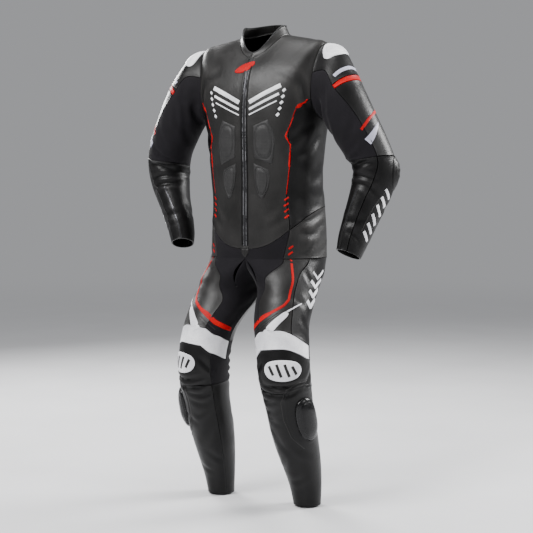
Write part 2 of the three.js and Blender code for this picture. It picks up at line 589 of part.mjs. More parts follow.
// A piece as a closed wall: its cells outside, the same moved in by the wall, and its edges.
// Two pieces that share a seam split its edge faces along the same diagonal.
function walledPiece(name, { finish, cells }) {
  const around = new Map();
  const edges = new Map();
  for (const cell of cells) {
    cell.forEach((index, place) => {
      if (!around.has(index)) around.set(index, []);
      around.get(index).push(cell);
      edges.set(`${index} ${cell[(place + 1) % 4]}`, [index, cell[(place + 1) % 4]]);
    });
  }
  const rim = [...edges.values()].filter(([from, to]) => !edges.has(`${to} ${from}`));
  const onRim = new Set(rim.flat());
  const used = [...around.keys()];
  const local = new Map(used.map((index, place) => [index, place]));
  const outer = used.map((index) => {
    const point = points[index].clone();
    return onRim.has(index) ? point.add(seamShift(index, around.get(index))) : point;
  });
  const inner = used.map((index, place) => outer[place].clone().addScaledVector(normals[index], -WALL));
  const count = used.length;
  const faces = [];
  for (const cell of cells) {
    const [a, b, c, d] = cell.map((index) => local.get(index));
    faces.push([a, b, c], [a, c, d]);
    faces.push([a + count, c + count, b + count], [a + count, d + count, c + count]);
  }
  for (const [from, to] of rim) {
    const [a, b] = [local.get(from), local.get(to)];
    if (from < to) faces.push([b, a, a + count], [b, a + count, b + count]);
    else faces.push([b, a, b + count], [a, a + count, b + count]);
  }
  return meshOf(name, finish, [...outer, ...inner], faces);
}

// The torso's front at a given X and Z, found by halving the range of sections.
function frontPlace(x, z) {
  let [above, below] = [0, SEAT];
  const angleAt = (v) => Math.sign(x) * angleAcross(Math.abs(x), v);
  for (let halving = 0; halving < HALVINGS; halving += 1) {
    const v = (above + below) / 2;
    if (torsoPoint(angleAt(v), v).z > z) above = v;
    else below = v;
  }
  return torsoPoint(angleAt(above), above);
}

// A point of a laid piece and the surface's outward normal there; across and down run from -1 to 1.
function surfaceSpot(pointAt, across, down) {
  const along = pointAt(across + SMALL_STEP, down).sub(pointAt(across - SMALL_STEP, down));
  const downward = pointAt(across, down + SMALL_STEP).sub(pointAt(across, down - SMALL_STEP));
  return { point: pointAt(across, down), normal: downward.cross(along).normalize() };
}

// A crowned closed piece that follows the surface under it. turn is 1 where across runs from the
// viewer's left to right, and -1 where it runs the other way.
function laidPiece(name, finish, pointAt, form, turn, above = 0) {
  const [columns, rows] = form.cells;
  const under = [];
  const over = [];
  for (let row = 0; row <= rows; row += 1) {
    for (let column = 0; column <= columns; column += 1) {
      const across = (2 * column) / columns - 1;
      const down = (2 * row) / rows - 1;
      const { point, normal } = surfaceSpot(pointAt, across, down);
      const crown = (1 - Math.abs(across) ** form.crown) * (1 - Math.abs(down) ** form.crown);
      const foot = LAID_ON_LIFT + above;
      under.push(point.clone().addScaledVector(normal, turn * foot));
      over.push(point.clone().addScaledVector(normal, turn * (foot + form.edge + form.rise * crown)));
    }
  }
  const index = (column, row) => row * (columns + 1) + column;
  const count = over.length;
  const faces = [];
  const wall = (a, b) => faces.push([a, a + count, b + count], [a, b + count, b]);
  for (let row = 0; row < rows; row += 1) {
    for (let column = 0; column < columns; column += 1) {
      const [a, b] = [index(column, row), index(column, row + 1)];
      const [c, d] = [index(column + 1, row + 1), index(column + 1, row)];
      faces.push([a, b, c], [a, c, d]);
      faces.push([a + count, c + count, b + count], [a + count, d + count, c + count]);
    }
    wall(index(0, row), index(0, row + 1));
    wall(index(columns, row + 1), index(columns, row));
  }
  for (let column = 0; column < columns; column += 1) {
    wall(index(column + 1, 0), index(column, 0));
    wall(index(column, rows), index(column + 1, rows));
  }
  if (turn < 0) faces.forEach((face) => face.reverse());
  return meshOf(name, finish, [...over, ...under], faces);
}

// Runs across a piece from rung to rung, and down it along each rung.
function rungPoint(rungs, side) {
  return (across, down) => {
    const along = ((across + 1) / 2) * (rungs.length - 1);
    const share = (down + 1) / 2;
    const x = lerp(curveThrough(rungs, 'fromX', along), curveThrough(rungs, 'toX', along), share);
    const z = lerp(curveThrough(rungs, 'fromZ', along), curveThrough(rungs, 'toZ', along), share);
    return frontPlace(side * x, z);
  };
}

function limbSpot(row, side) {
  return (across, down) => {
    const round = across * Math.sqrt(1 - (row.corner * down * down) / 2);
    const along = down * Math.sqrt(1 - (row.corner * across * across) / 2);
    const angle = row.angle - row.span * round;
    const w = row.w + row.reach * along;
    const point = row.limb === 'sleeve' ? sleevePoint(angle, w, side) : legPoint(angle, w);
    if (side === 'right') point.x = -point.x;
    return point;
  };
}

const group = new THREE.Group();
for (const [name, piece] of pieces) group.add(walledPiece(name, piece));
for (const [place, rungs] of Object.entries(PAD_RUNGS)) {
  group.add(laidPiece(`abdomen_pad_${place}_left`, 'pad', rungPoint(rungs, 1), PAD_FORM, -1));
  group.add(laidPiece(`abdomen_pad_${place}_right`, 'pad', rungPoint(rungs, -1), PAD_FORM, 1));
}
group.add(laidPiece('throat_patch', 'red', rungPoint(THROAT_PATCH_RUNGS, 1), PATCH_FORM, 1));
group.add(laidPiece('zip_end_tab', 'leather', rungPoint(ZIP_TAB_RUNGS, 1), PATCH_FORM, 1));
for (const row of LAID_ON_LIMBS) {
  for (const side of ['left', 'right']) {
    const turn = side === 'left' ? 1 : -1;
    group.add(laidPiece(`${row.piece}_${side}`, row.finish, limbSpot(row, side), row.form, turn, row.above));
  }
}

export default group;
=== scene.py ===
"""A one-piece leather race suit, filled out as worn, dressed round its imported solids.

The suit is one surface, in millimetres: a torso, two sleeves and two legs, each run through a table
of sections. A grid lies on it, its lines follow the seams, and each cut piece is a block of the grid.
Here the pieces are cut finely, creased, and given their trim, stitching, zip teeth and finishes.
The front faces -Y and the wearer's left is +X. Where a function takes a side, the table is for the
wearer's left, and the right is its mirror image.
"""

import math

import bmesh
import bpy
import numpy as np
from bpy.props import FloatProperty, FloatVectorProperty, PointerProperty
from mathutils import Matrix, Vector, kdtree
from mathutils.bvhtree import BVHTree


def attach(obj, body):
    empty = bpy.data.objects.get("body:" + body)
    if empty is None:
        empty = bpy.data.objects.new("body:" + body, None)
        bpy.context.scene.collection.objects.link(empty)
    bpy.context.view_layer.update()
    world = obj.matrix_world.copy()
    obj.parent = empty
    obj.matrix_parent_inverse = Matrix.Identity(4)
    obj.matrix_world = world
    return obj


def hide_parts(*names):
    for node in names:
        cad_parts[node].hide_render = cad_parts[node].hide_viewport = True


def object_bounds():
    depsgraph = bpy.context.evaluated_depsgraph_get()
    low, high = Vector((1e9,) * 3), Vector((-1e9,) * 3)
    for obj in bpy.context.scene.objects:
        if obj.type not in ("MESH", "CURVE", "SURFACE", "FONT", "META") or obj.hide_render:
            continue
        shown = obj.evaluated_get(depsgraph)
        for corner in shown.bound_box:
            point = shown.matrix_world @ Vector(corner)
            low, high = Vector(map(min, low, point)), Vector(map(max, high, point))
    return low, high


bl_info = {
    "name": "Race Suit",
    "version": (1, 0, 0),
    "blender": (4, 5, 0),
    "location": "View3D > Sidebar > Race Suit",
    "description": "Dresses a one-piece leather race suit round its packed solids",
    "category": "Add Mesh",
}

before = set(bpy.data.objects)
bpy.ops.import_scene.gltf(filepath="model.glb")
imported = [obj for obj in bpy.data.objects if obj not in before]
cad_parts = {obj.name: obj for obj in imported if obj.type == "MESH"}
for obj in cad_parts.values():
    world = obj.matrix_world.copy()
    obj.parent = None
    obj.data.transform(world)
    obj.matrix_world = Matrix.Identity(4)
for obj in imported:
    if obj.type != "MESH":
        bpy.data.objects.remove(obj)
CAD_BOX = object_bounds()
MM = 0.001
SIDES = ("left", "right")


def table(columns, *rows):
    """A table with named columns, as one array for each column."""
    return {name: np.array([row[place] for row in rows], float) for place, name in enumerate(columns)}


# Torso sections from the neckline down to the seat.
TORSO = table(
    ("z_front", "z_side", "z_back", "half", "front", "back", "middle", "square"),
    (-20, 50, 66, 73, 84, 58, 0, 2.0),
    (-58, 42, 46, 114, 108, 84, 0, 2.1),
    (-100, 33, 12, 158, 122, 108, 0, 2.2),
    (-140, 18, -36, 198, 128, 124, 0, 2.3),
    (-172, -58, -90, 210, 130, 132, 0, 2.3),
    (-205, -145, -152, 202, 132, 132, 2, 2.3),
    (-240, -228, -228, 184, 134, 124, 4, 2.4),
    (-300, -300, -300, 177, 134, 108, 6, 2.4),
    (-365, -365, -365, 172, 136, 96, 10, 2.4),
    (-435, -435, -435, 171, 148, 106, 22, 2.3),
    (-515, -515, -515, 174, 146, 128, 20, 2.3),
    (-600, -600, -592, 178, 136, 144, 12, 2.2),
)
SEAT = len(TORSO["half"]) - 1
COLLAR_TOP = {"z_front": -4, "z_side": 77, "z_back": 87, "half": 64, "front": 70, "back": 56, "middle": -8, "square": 2}

# The armhole lies between two sections and reaches this many degrees to each side.
ARMHOLE = {"top": 3, "bottom": 5.6, "reach": 30}
ARMHOLE_MIDDLE = (ARMHOLE["top"] + ARMHOLE["bottom"]) / 2
ARMHOLE_RADIUS = (ARMHOLE["bottom"] - ARMHOLE["top"]) / 2

# Sleeve and leg sections: outermost and innermost points, half the depth, and tilt in degrees.
LIMB_COLUMNS = ("out_x", "out_z", "in_x", "in_z", "y", "depth", "tilt")
SLEEVE = table(
    LIMB_COLUMNS,
    (198, 18, 191, -196, 0, 72, 0),
    (250, 1, 207, -201, -4, 80, 0),
    (292, -57, 216, -210, -18, 78, 0),
    (327, -118, 224, -225, -24, 74, 0),
    (360, -183, 243, -256, -22, 70, 0),
    (391, -248, 265, -292, -16, 67, 0),
    (410, -300, 280, -322, -6, 66, 4),
    (416, -345, 288, -345, 4, 66, 8),
    (404, -399, 288, -382, 0, 63, 14),
    (380, -449, 281, -424, -12, 59, 20),
    (353, -504, 267, -478, -26, 53, 22),
    (333, -549, 255, -527, -40, 46, 22),
    (319, -582, 251, -566, -50, 37, 22),
)
CUFF = len(SLEEVE["y"]) - 1
ELBOW = 7
CUFF_SWING = {"left": 12, "right": -18}
CUFF_DROP = {"left": 10, "right": -8}
LEG = table(
    LIMB_COLUMNS,
    (182, -600, 0, -672, 22, 140, 0),
    (182, -648, 7, -700, -20, 124, 0),
    (187, -696, 15, -735, -56, 104, 0),
    (193, -742, 28, -768, -92, 92, 0),
    (196, -790, 42, -805, -118, 86, 0),
    (204, -836, 52, -844, -130, 81, 0),
    (208, -884, 59, -884, -135, 81, 0),
    (210, -928, 63, -928, -134, 81, -4),
    (210, -973, 68, -973, -125, 76, -8),
    (208, -1028, 74, -1028, -110, 70, -10),
    (209, -1088, 76, -1088, -90, 68, -10),
    (207, -1148, 82, -1148, -68, 64, -10),
    (203, -1208, 92, -1208, -46, 56, -8),
    (197, -1268, 102, -1268, -28, 46, -4),
    (190, -1328, 110, -1328, -18, 40, 0),
)
CROTCH_DROP = 76

# Seam lines. On the torso the side front seam is given by its distance from the centre line.
ZIP_HALF_WIDTH = 6.5
SIDE_FRONT_SEAM = (52, 88, 126, 154, 168, 150, 130, 134, 127, 120, 128, 112)
SIDE_BACK_SEAM = 118
WAIST_SEAM = table(
    ("angle", "v"),
    (0, 10.62), (15, 10.54), (30, 10.32), (50, 9.9), (70, 9.5), (90, 9.25), (130, 9.12), (180, 9.06),
)
COLUMN = {"zip": 1, "side_front": 5, "side": 10, "side_back": 12, "back": 16}
ROW = {"neck": 0, "shoulder": 4, "underarm": 12, "waist": 18, "seat": 21}
SLEEVE_ROWS = {
    "outer": (0, 0.7, 1.4, 2.32, 2.58, 3.15, 3.7, 4.5, 5.3, 6.1, 7, 7.9, 8.8, 9.8, 10.7, 11.4, 12),
    "seam": (0, 0.5, 1.05, 1.75, 2.02, 2.75, 3.6, 4.5, 5.4, 6.2, 7, 7.8, 8.8, 9.8, 10.7, 11.4, 12),
    "inner": (0, 0.7, 1.3, 2.0, 2.3, 2.9, 3.6, 4.5, 5.4, 6.2, 7, 7.8, 8.8, 9.8, 10.7, 11.4, 12),
}
SLEEVE_COLUMN = {"front_seam": 3, "back_seam": 12, "count": 16}
SLEEVE_SEAMS = table(
    ("w", "front", "back"),
    (0, 67.5, 270), (2, 72, 266), (4, 54, 262), (6, 52, 262), (8, 64, 262), (10, 70, 265), (12, 72, 268),
)
LEG_ROWS = {
    "centre": (0, 0.8, 1.6, 2.5, 3.5, 4.48, 5.12, 5.8, 6.4, 7.1, 7.8, 8.7, 9.7, 10.8, 11.9, 13, 14),
    "kneecap": (0, 0.8, 1.6, 2.4, 3.2, 4.0, 4.6, 5.18, 6.1, 7.0, 7.8, 8.7, 9.7, 10.8, 11.9, 13, 14),
    "side": (0, 0.8, 1.6, 2.65, 3.85, 5.1, 5.52, 5.95, 6.5, 7.1, 7.8, 8.7, 9.7, 10.8, 11.9, 13, 14),
    "back": (0, 0.8, 1.6, 2.6, 3.8, 5.1, 5.6, 6.1, 6.6, 7.2, 7.8, 8.7, 9.7, 10.8, 11.9, 13, 14),
    "inseam": (0, 0.8, 1.6, 2.6, 3.75, 5.0, 5.65, 6.3, 6.8, 7.3, 7.8, 8.7, 9.7, 10.8, 11.9, 13, 14),
}
LEG_ROW_STOPS = (0, 7, 10, 16, 20, 24)
LEG_COLUMNS = (0, 5, 10, 12, 16, 20, 24)
LEG_SEAMS = table(
    ("w", "centre", "side_front", "side", "side_back", "back", "inseam"),
    (0, 90, 53, 360, 332, 270, 180),
    (1, 132, 102, 358, 318, 252, 180),
    (2, 144, 117, 354, 306, 240, 180),
    (4, 139, 112, 350, 298, 234, 180),
    (6, 138, 112, 346, 292, 232, 180),
    (9, 142, 118, 344, 288, 230, 182),
    (14, 142, 120, 344, 288, 230, 182),
)

# Cut pieces: finish, and blocks of grid cells as columns and rows from and to.
CUT_PIECES = {
    "collar": ("leather", (("collar", 0, 16, 0, 2),)),
    "zip_strip": ("zip", (("front", 0, 1, 0, 18),)),
    "front": ("leather", (("front", 1, 5, 0, 18), ("front", 5, 10, 0, 9))),
    "side": ("shaded_leather", (("front", 5, 10, 9, 18), ("rear", 10, 12, 12, 18))),
    "back": ("leather", (("rear", 10, 16, 0, 12), ("rear", 12, 16, 12, 15))),
    "lumbar_stretch": ("stretch", (("rear", 12, 16, 15, 18),)),
    "hip": ("leather", (("front", 5, 10, 18, 21), ("rear", 10, 12, 18, 21))),
    "crotch_stretch": ("stretch", (("front", 0, 5, 18, 21), ("leg", 0, 5, 0, 5), ("leg", 20, 24, 0, 5))),
    "seat": ("shaded_leather", (("rear", 12, 16, 18, 21), ("leg", 12, 20, 0, 5))),
    "sleeve_cap": ("shaded_leather", (("sleeve", 12, 19, 0, 3),)),
    "sleeve_red_band": ("red", (("sleeve", 12, 19, 3, 4),)),
    "sleeve_outer": ("shaded_leather", (("sleeve", 12, 19, 4, 9),)),
    "sleeve_stretch": ("stretch", (("sleeve", 3, 12, 0, 9),)),
    "forearm_outer": ("shaded_leather", (("sleeve", 12, 19, 9, 16),)),
    "forearm_inner": ("shaded_leather", (("sleeve", 3, 12, 9, 16),)),
    "thigh_front": ("leather", (("leg", 5, 8, 0, 5),)),
    "thigh_outer": ("shaded_leather", (("leg", 8, 12, 0, 5), ("leg", 10, 12, 5, 7))),
    "knee_band": ("white", (("leg", 0, 10, 5, 7), ("leg", 20, 24, 5, 7))),
    "knee_front": ("shaded_leather", (("leg", 0, 12, 7, 10),)),
    "knee_back": ("stretch", (("leg", 12, 20, 5, 7), ("leg", 12, 24, 7, 10))),
    "shin_front": ("shaded_leather", (("leg", 0, 12, 10, 16),)),
    "calf": ("shaded_leather", (("leg", 12, 24, 10, 16),)),
}
WHOLE_PIECES = ("zip_strip", "lumbar_stretch")
TORSO_PIECES = ("collar", "zip_strip", "front", "side", "back", "lumbar_stretch", "hip", "crotch_stretch", "seat")
SLEEVE_PIECES = (
    "sleeve_cap", "sleeve_red_band", "sleeve_outer", "sleeve_stretch", "forearm_outer", "forearm_inner",
)
LEG_PIECES = ("thigh_front", "thigh_outer", "knee_band", "knee_front", "knee_back", "shin_front", "calf")

# Cells that each grid cell is divided into, across and down.
FINENESS = {"collar": (6, 10), "front": (6, 6), "rear": (6, 6), "sleeve": (6, 8), "leg": (6, 9)}
SETTLING_ROUNDS = 6
HALVINGS = 30


def smooth_curve(keys, values, at):
    """A smooth curve through a table's rows, at one or many places."""
    keys, values, at = (np.asarray(item, float) for item in (keys, values, at))
    last = len(keys) - 1
    start = np.clip(np.searchsorted(keys, at, side="left") - 1, 0, last - 1)
    share = (at - keys[start]) / (keys[start + 1] - keys[start])
    rows = [values[np.clip(start + step, 0, last)] for step in (-1, 0, 1, 2)]
    return smooth_between(rows, share)


def smooth_between(rows, share):
    """A smooth curve from the second of four values to the third."""
    before, here, there, after = rows
    slope_in = (there - before) / 2
    slope_out = (after - here) / 2
    bend = 3 * (there - here) - 2 * slope_in - slope_out
    twist = slope_in + slope_out - 2 * (there - here)
    return here + share * (slope_in + share * (bend + share * twist))


def blend(start, end, share):
    return start + (end - start) * share


def section_point(section, angle):
    """A point on a torso section. angle is 0 at the front, 90 at the wearer's left, 180 at the back."""
    sine, cosine = np.sin(np.radians(angle)), np.cos(np.radians(angle))
    power = 2 / section["square"]
    side = np.abs(sine) ** power * np.sign(sine)
    along = np.abs(cosine) ** power
    ahead = cosine > 0
    depth = np.where(ahead, -np.asarray(section["front"]), section["back"])
    z_end = np.where(ahead, section["z_front"], section["z_back"])
    z = blend(z_end, section["z_side"], sine * sine)
    return np.stack([section["half"] * side, section["middle"] + depth * along, z], axis=-1)


def torso_column(name, v):
    return smooth_curve(np.arange(SEAT + 1), TORSO[name], v)


def torso_point(angle, v):
    return section_point({name: torso_column(name, v) for name in TORSO}, angle)


def angle_across(x, v):
    """The angle at which a torso section lies x from the centre line, towards the front."""
    share = np.abs(x) / torso_column("half", v)
    sine = np.minimum(share ** (torso_column("square", v) / 2), 1)
    return np.degrees(np.arcsin(sine))


def armhole_point(turn):
    """A point on the armhole's edge. turn is 0 at the shoulder, 90 at the front, 180 under the arm."""
    v = ARMHOLE_MIDDLE - ARMHOLE_RADIUS * np.cos(np.radians(turn))
    return torso_point(90 - ARMHOLE["reach"] * np.sin(np.radians(turn)), v)


def leg_opening_point(angle):
    """The seat's edge for one leg: half of the torso's last section, and the crotch seam."""
    turn = np.mod(angle, 360)
    outside = (turn <= 90) | (turn >= 270)
    hip = torso_point(90 - np.where(turn > 180, turn - 360, turn), np.full_like(turn, SEAT))
    along = np.radians(turn - 90)
    ends = [torso_point(np.full_like(turn, end), np.full_like(turn, SEAT)) for end in (0.0, 180.0)]
    crotch = blend(ends[0], ends[1], ((1 - np.cos(along)) / 2)[..., None])
    crotch[..., 2] -= CROTCH_DROP * np.sin(along)
    return np.where(outside[..., None], hip, crotch)


def ring_point(limb, index, angle):
    """A point on a ring of a sleeve or leg. angle is 0 on the outer side, 90 in front, 180 inside."""
    row = {name: column[index] for name, column in limb.items()}
    cosine, sine = np.cos(np.radians(angle)), np.sin(np.radians(angle))
    tilt = np.radians(row["tilt"])
    x = (row["out_x"] + row["in_x"]) / 2 + (row["out_x"] - row["in_x"]) / 2 * cosine
    z = (row["out_z"] + row["in_z"]) / 2 + (row["out_z"] - row["in_z"]) / 2 * cosine
    ahead = row["depth"] * sine
    return np.stack([x, row["y"] - ahead * np.cos(tilt), z + ahead * np.sin(tilt)], axis=-1)


def limb_point(limb, opening, angle, w):
    """A point on a limb, on a smooth curve from the opening it is sewn to and down its rings."""
    last = len(limb["y"]) - 1
    start = np.clip(np.floor(w).astype(int), 0, last - 1)
    at_opening = opening(angle)
    rings = []
    for step in (-1, 0, 1, 2):
        index = np.clip(start + step, 0, last)
        rings.append(np.where((index <= 0)[..., None], at_opening, ring_point(limb, index, angle)))
    return smooth_between(rings, (w - start)[..., None])


def sleeve_point(angle, w, side):
    angle, w = np.broadcast_arrays(np.asarray(angle, float), np.asarray(w, float))
    point = limb_point(SLEEVE, armhole_point, angle, w)
    share = np.maximum(0, (w - ELBOW) / (CUFF - ELBOW))
    bend = share * share * (3 - 2 * share)
    point[..., 0] += CUFF_SWING[side] * bend
    point[..., 2] -= CUFF_DROP[side] * bend
    return point


def leg_point(angle, w, _side=None):
    angle, w = np.broadcast_arrays(np.asarray(angle, float), np.asarray(w, float))
    return limb_point(LEG, leg_opening_point, angle, w)


def torso_row_place(row, angle):
    """The section, as a number with fractions, at which a grid row lies."""
    turn = np.radians(180 * (row - ROW["shoulder"]) / (ROW["underarm"] - ROW["shoulder"]))
    waist = smooth_curve(WAIST_SEAM["angle"], WAIST_SEAM["v"], angle)
    below_arm = (row - ROW["underarm"]) / (ROW["waist"] - ROW["underarm"])
    below_waist = (row - ROW["waist"]) / (ROW["seat"] - ROW["waist"])
    return np.select(
        [row <= ROW["shoulder"], row <= ROW["underarm"], row <= ROW["waist"]],
        [
            ARMHOLE["top"] * row / ROW["shoulder"],
            ARMHOLE_MIDDLE - ARMHOLE_RADIUS * np.cos(turn),
            blend(ARMHOLE["bottom"], waist, below_arm),
        ],
        blend(waist, SEAT, below_waist),
    )


def torso_grid_angle(column, v, row, rear):
    """The angle at which a grid column lies on section v."""
    turn = np.radians(180 * (row - ROW["shoulder"]) / (ROW["underarm"] - ROW["shoulder"]))
    by_armhole = (row > ROW["shoulder"]) & (row < ROW["underarm"])
    reach = np.where(by_armhole, ARMHOLE["reach"] * np.sin(turn), 0)
    side = 90 + reach if rear else 90 - reach
    zip_edge = angle_across(ZIP_HALF_WIDTH, v)
    side_front = angle_across(smooth_curve(np.arange(SEAT + 1), SIDE_FRONT_SEAM, v), v)
    rear_seam = np.maximum(SIDE_BACK_SEAM, side + (180 - side) / 3)
    lines = [(0, 0.0), (COLUMN["zip"], zip_edge), (COLUMN["side_front"], side_front), (COLUMN["side"], side)]
    if rear:
        lines = [(COLUMN["side"], side), (COLUMN["side_back"], rear_seam), (COLUMN["back"], 180.0)]
    angle = np.zeros_like(v)
    for (start, low), (end, high) in zip(lines, lines[1:]):
        inside = (column >= start) & (column <= end)
        angle = np.where(inside, blend(low, high, (column - start) / (end - start)), angle)
    return angle


def torso_grid_place(column, row, rear):
    """The angle and section of a grid point. The waist seam's height depends on the angle, so the two
    are settled together in a few rounds."""
    angle = 180 * column / COLUMN["back"]
    v = torso_row_place(row, angle)
    for _ in range(SETTLING_ROUNDS):
        angle = torso_grid_angle(column, v, row, rear)
        v = torso_row_place(row, angle)
    return angle, v


def torso_grid_point(rear):
    return lambda column, row, _side: torso_point(*torso_grid_place(column, row, rear))


def collar_grid_point(column, row, _side):
    neck = np.full_like(column, ROW["neck"])
    angle = np.where(
        column > COLUMN["side"], torso_grid_place(column, neck, True)[0], torso_grid_place(column, neck, False)[0]
    )
    return collar_point(angle, (2 - row) / 2)


def collar_point(angle, height):
    foot = torso_point(angle, np.zeros_like(angle))
    return blend(foot, section_point(COLLAR_TOP, angle), height[..., None])


def sleeve_grid_point(column, row, side):
    turn = np.radians(column * 360 / SLEEVE_COLUMN["count"])
    lines = {name: np.interp(row, np.arange(len(rows)), rows) for name, rows in SLEEVE_ROWS.items()}
    straight = np.where(np.cos(turn) > 0, lines["outer"], lines["inner"])
    w = blend(straight, lines["seam"], 1 - np.abs(np.cos(turn)))
    front, back = (smooth_curve(SLEEVE_SEAMS["w"], SLEEVE_SEAMS[name], w) for name in ("front", "back"))
    front_seam, back_seam, count = (SLEEVE_COLUMN[name] for name in ("front_seam", "back_seam", "count"))
    outer_share = np.mod(column - back_seam, count) / (front_seam + count - back_seam)
    inner_share = (column - front_seam) / (back_seam - front_seam)
    inside = (column >= front_seam) & (column <= back_seam)
    angle = np.where(inside, blend(front, back, inner_share), blend(back - 360, front, outer_share))
    return sleeve_point(angle, w, side)


def leg_row_place(row, column):
    """The section at which a row of the leg grid lies on a column."""
    lines = [np.interp(row, np.arange(len(rows)), rows) for rows in LEG_ROWS.values()]
    lines.append(lines[0])
    last = len(LEG_ROW_STOPS) - 1
    w = np.zeros_like(lines[0])
    for place, (start, end) in enumerate(zip(LEG_ROW_STOPS, LEG_ROW_STOPS[1:])):
        rows = [lines[min(max(place + step, 0), last)] for step in (-1, 0, 1, 2)]
        inside = (column >= start) & (column <= end)
        w = np.where(inside, smooth_between(rows, (column - start) / (end - start)), w)
    return w


def leg_grid_point(column, row, _side):
    w = leg_row_place(row, column)
    seam = {name: smooth_curve(LEG_SEAMS["w"], LEG_SEAMS[name], w) for name in LEG_SEAMS if name != "w"}
    front_half = [seam["centre"], seam["side_front"], seam["side"] - 360]
    rear_half = [seam["side"], seam["side_back"], seam["back"], seam["inseam"], seam["centre"]]
    angle = np.zeros_like(w)
    for lines_here, columns in ((front_half, LEG_COLUMNS[:3]), (rear_half, LEG_COLUMNS[2:])):
        for place, (start, end) in enumerate(zip(columns, columns[1:])):
            inside = (column >= start) & (column <= end) & ((column > LEG_COLUMNS[2]) | (columns[0] == 0))
            share = (column - start) / (end - start)
            angle = np.where(inside, blend(lines_here[place], lines_here[place + 1], share), angle)
    seat = np.full_like(column, ROW["seat"])
    hip_column = np.minimum(column, COLUMN["back"])
    front_angle = 90 - torso_grid_place(hip_column, seat, False)[0]
    rear_angle = 450 - torso_grid_place(hip_column, seat, True)[0]
    seat_angle = np.where(column > COLUMN["side"], rear_angle, front_angle)
    share = np.clip(row, 0, 1)
    onto_hip = (column <= COLUMN["back"]) & (row < 1)
    angle = np.where(onto_hip, blend(seat_angle, angle, share * share * (3 - 2 * share)), angle)
    return leg_point(angle, w)


GRIDS = {
    "collar": collar_grid_point,
    "front": torso_grid_point(False),
    "rear": torso_grid_point(True),
    "sleeve": sleeve_grid_point,
    "leg": leg_grid_point,
}
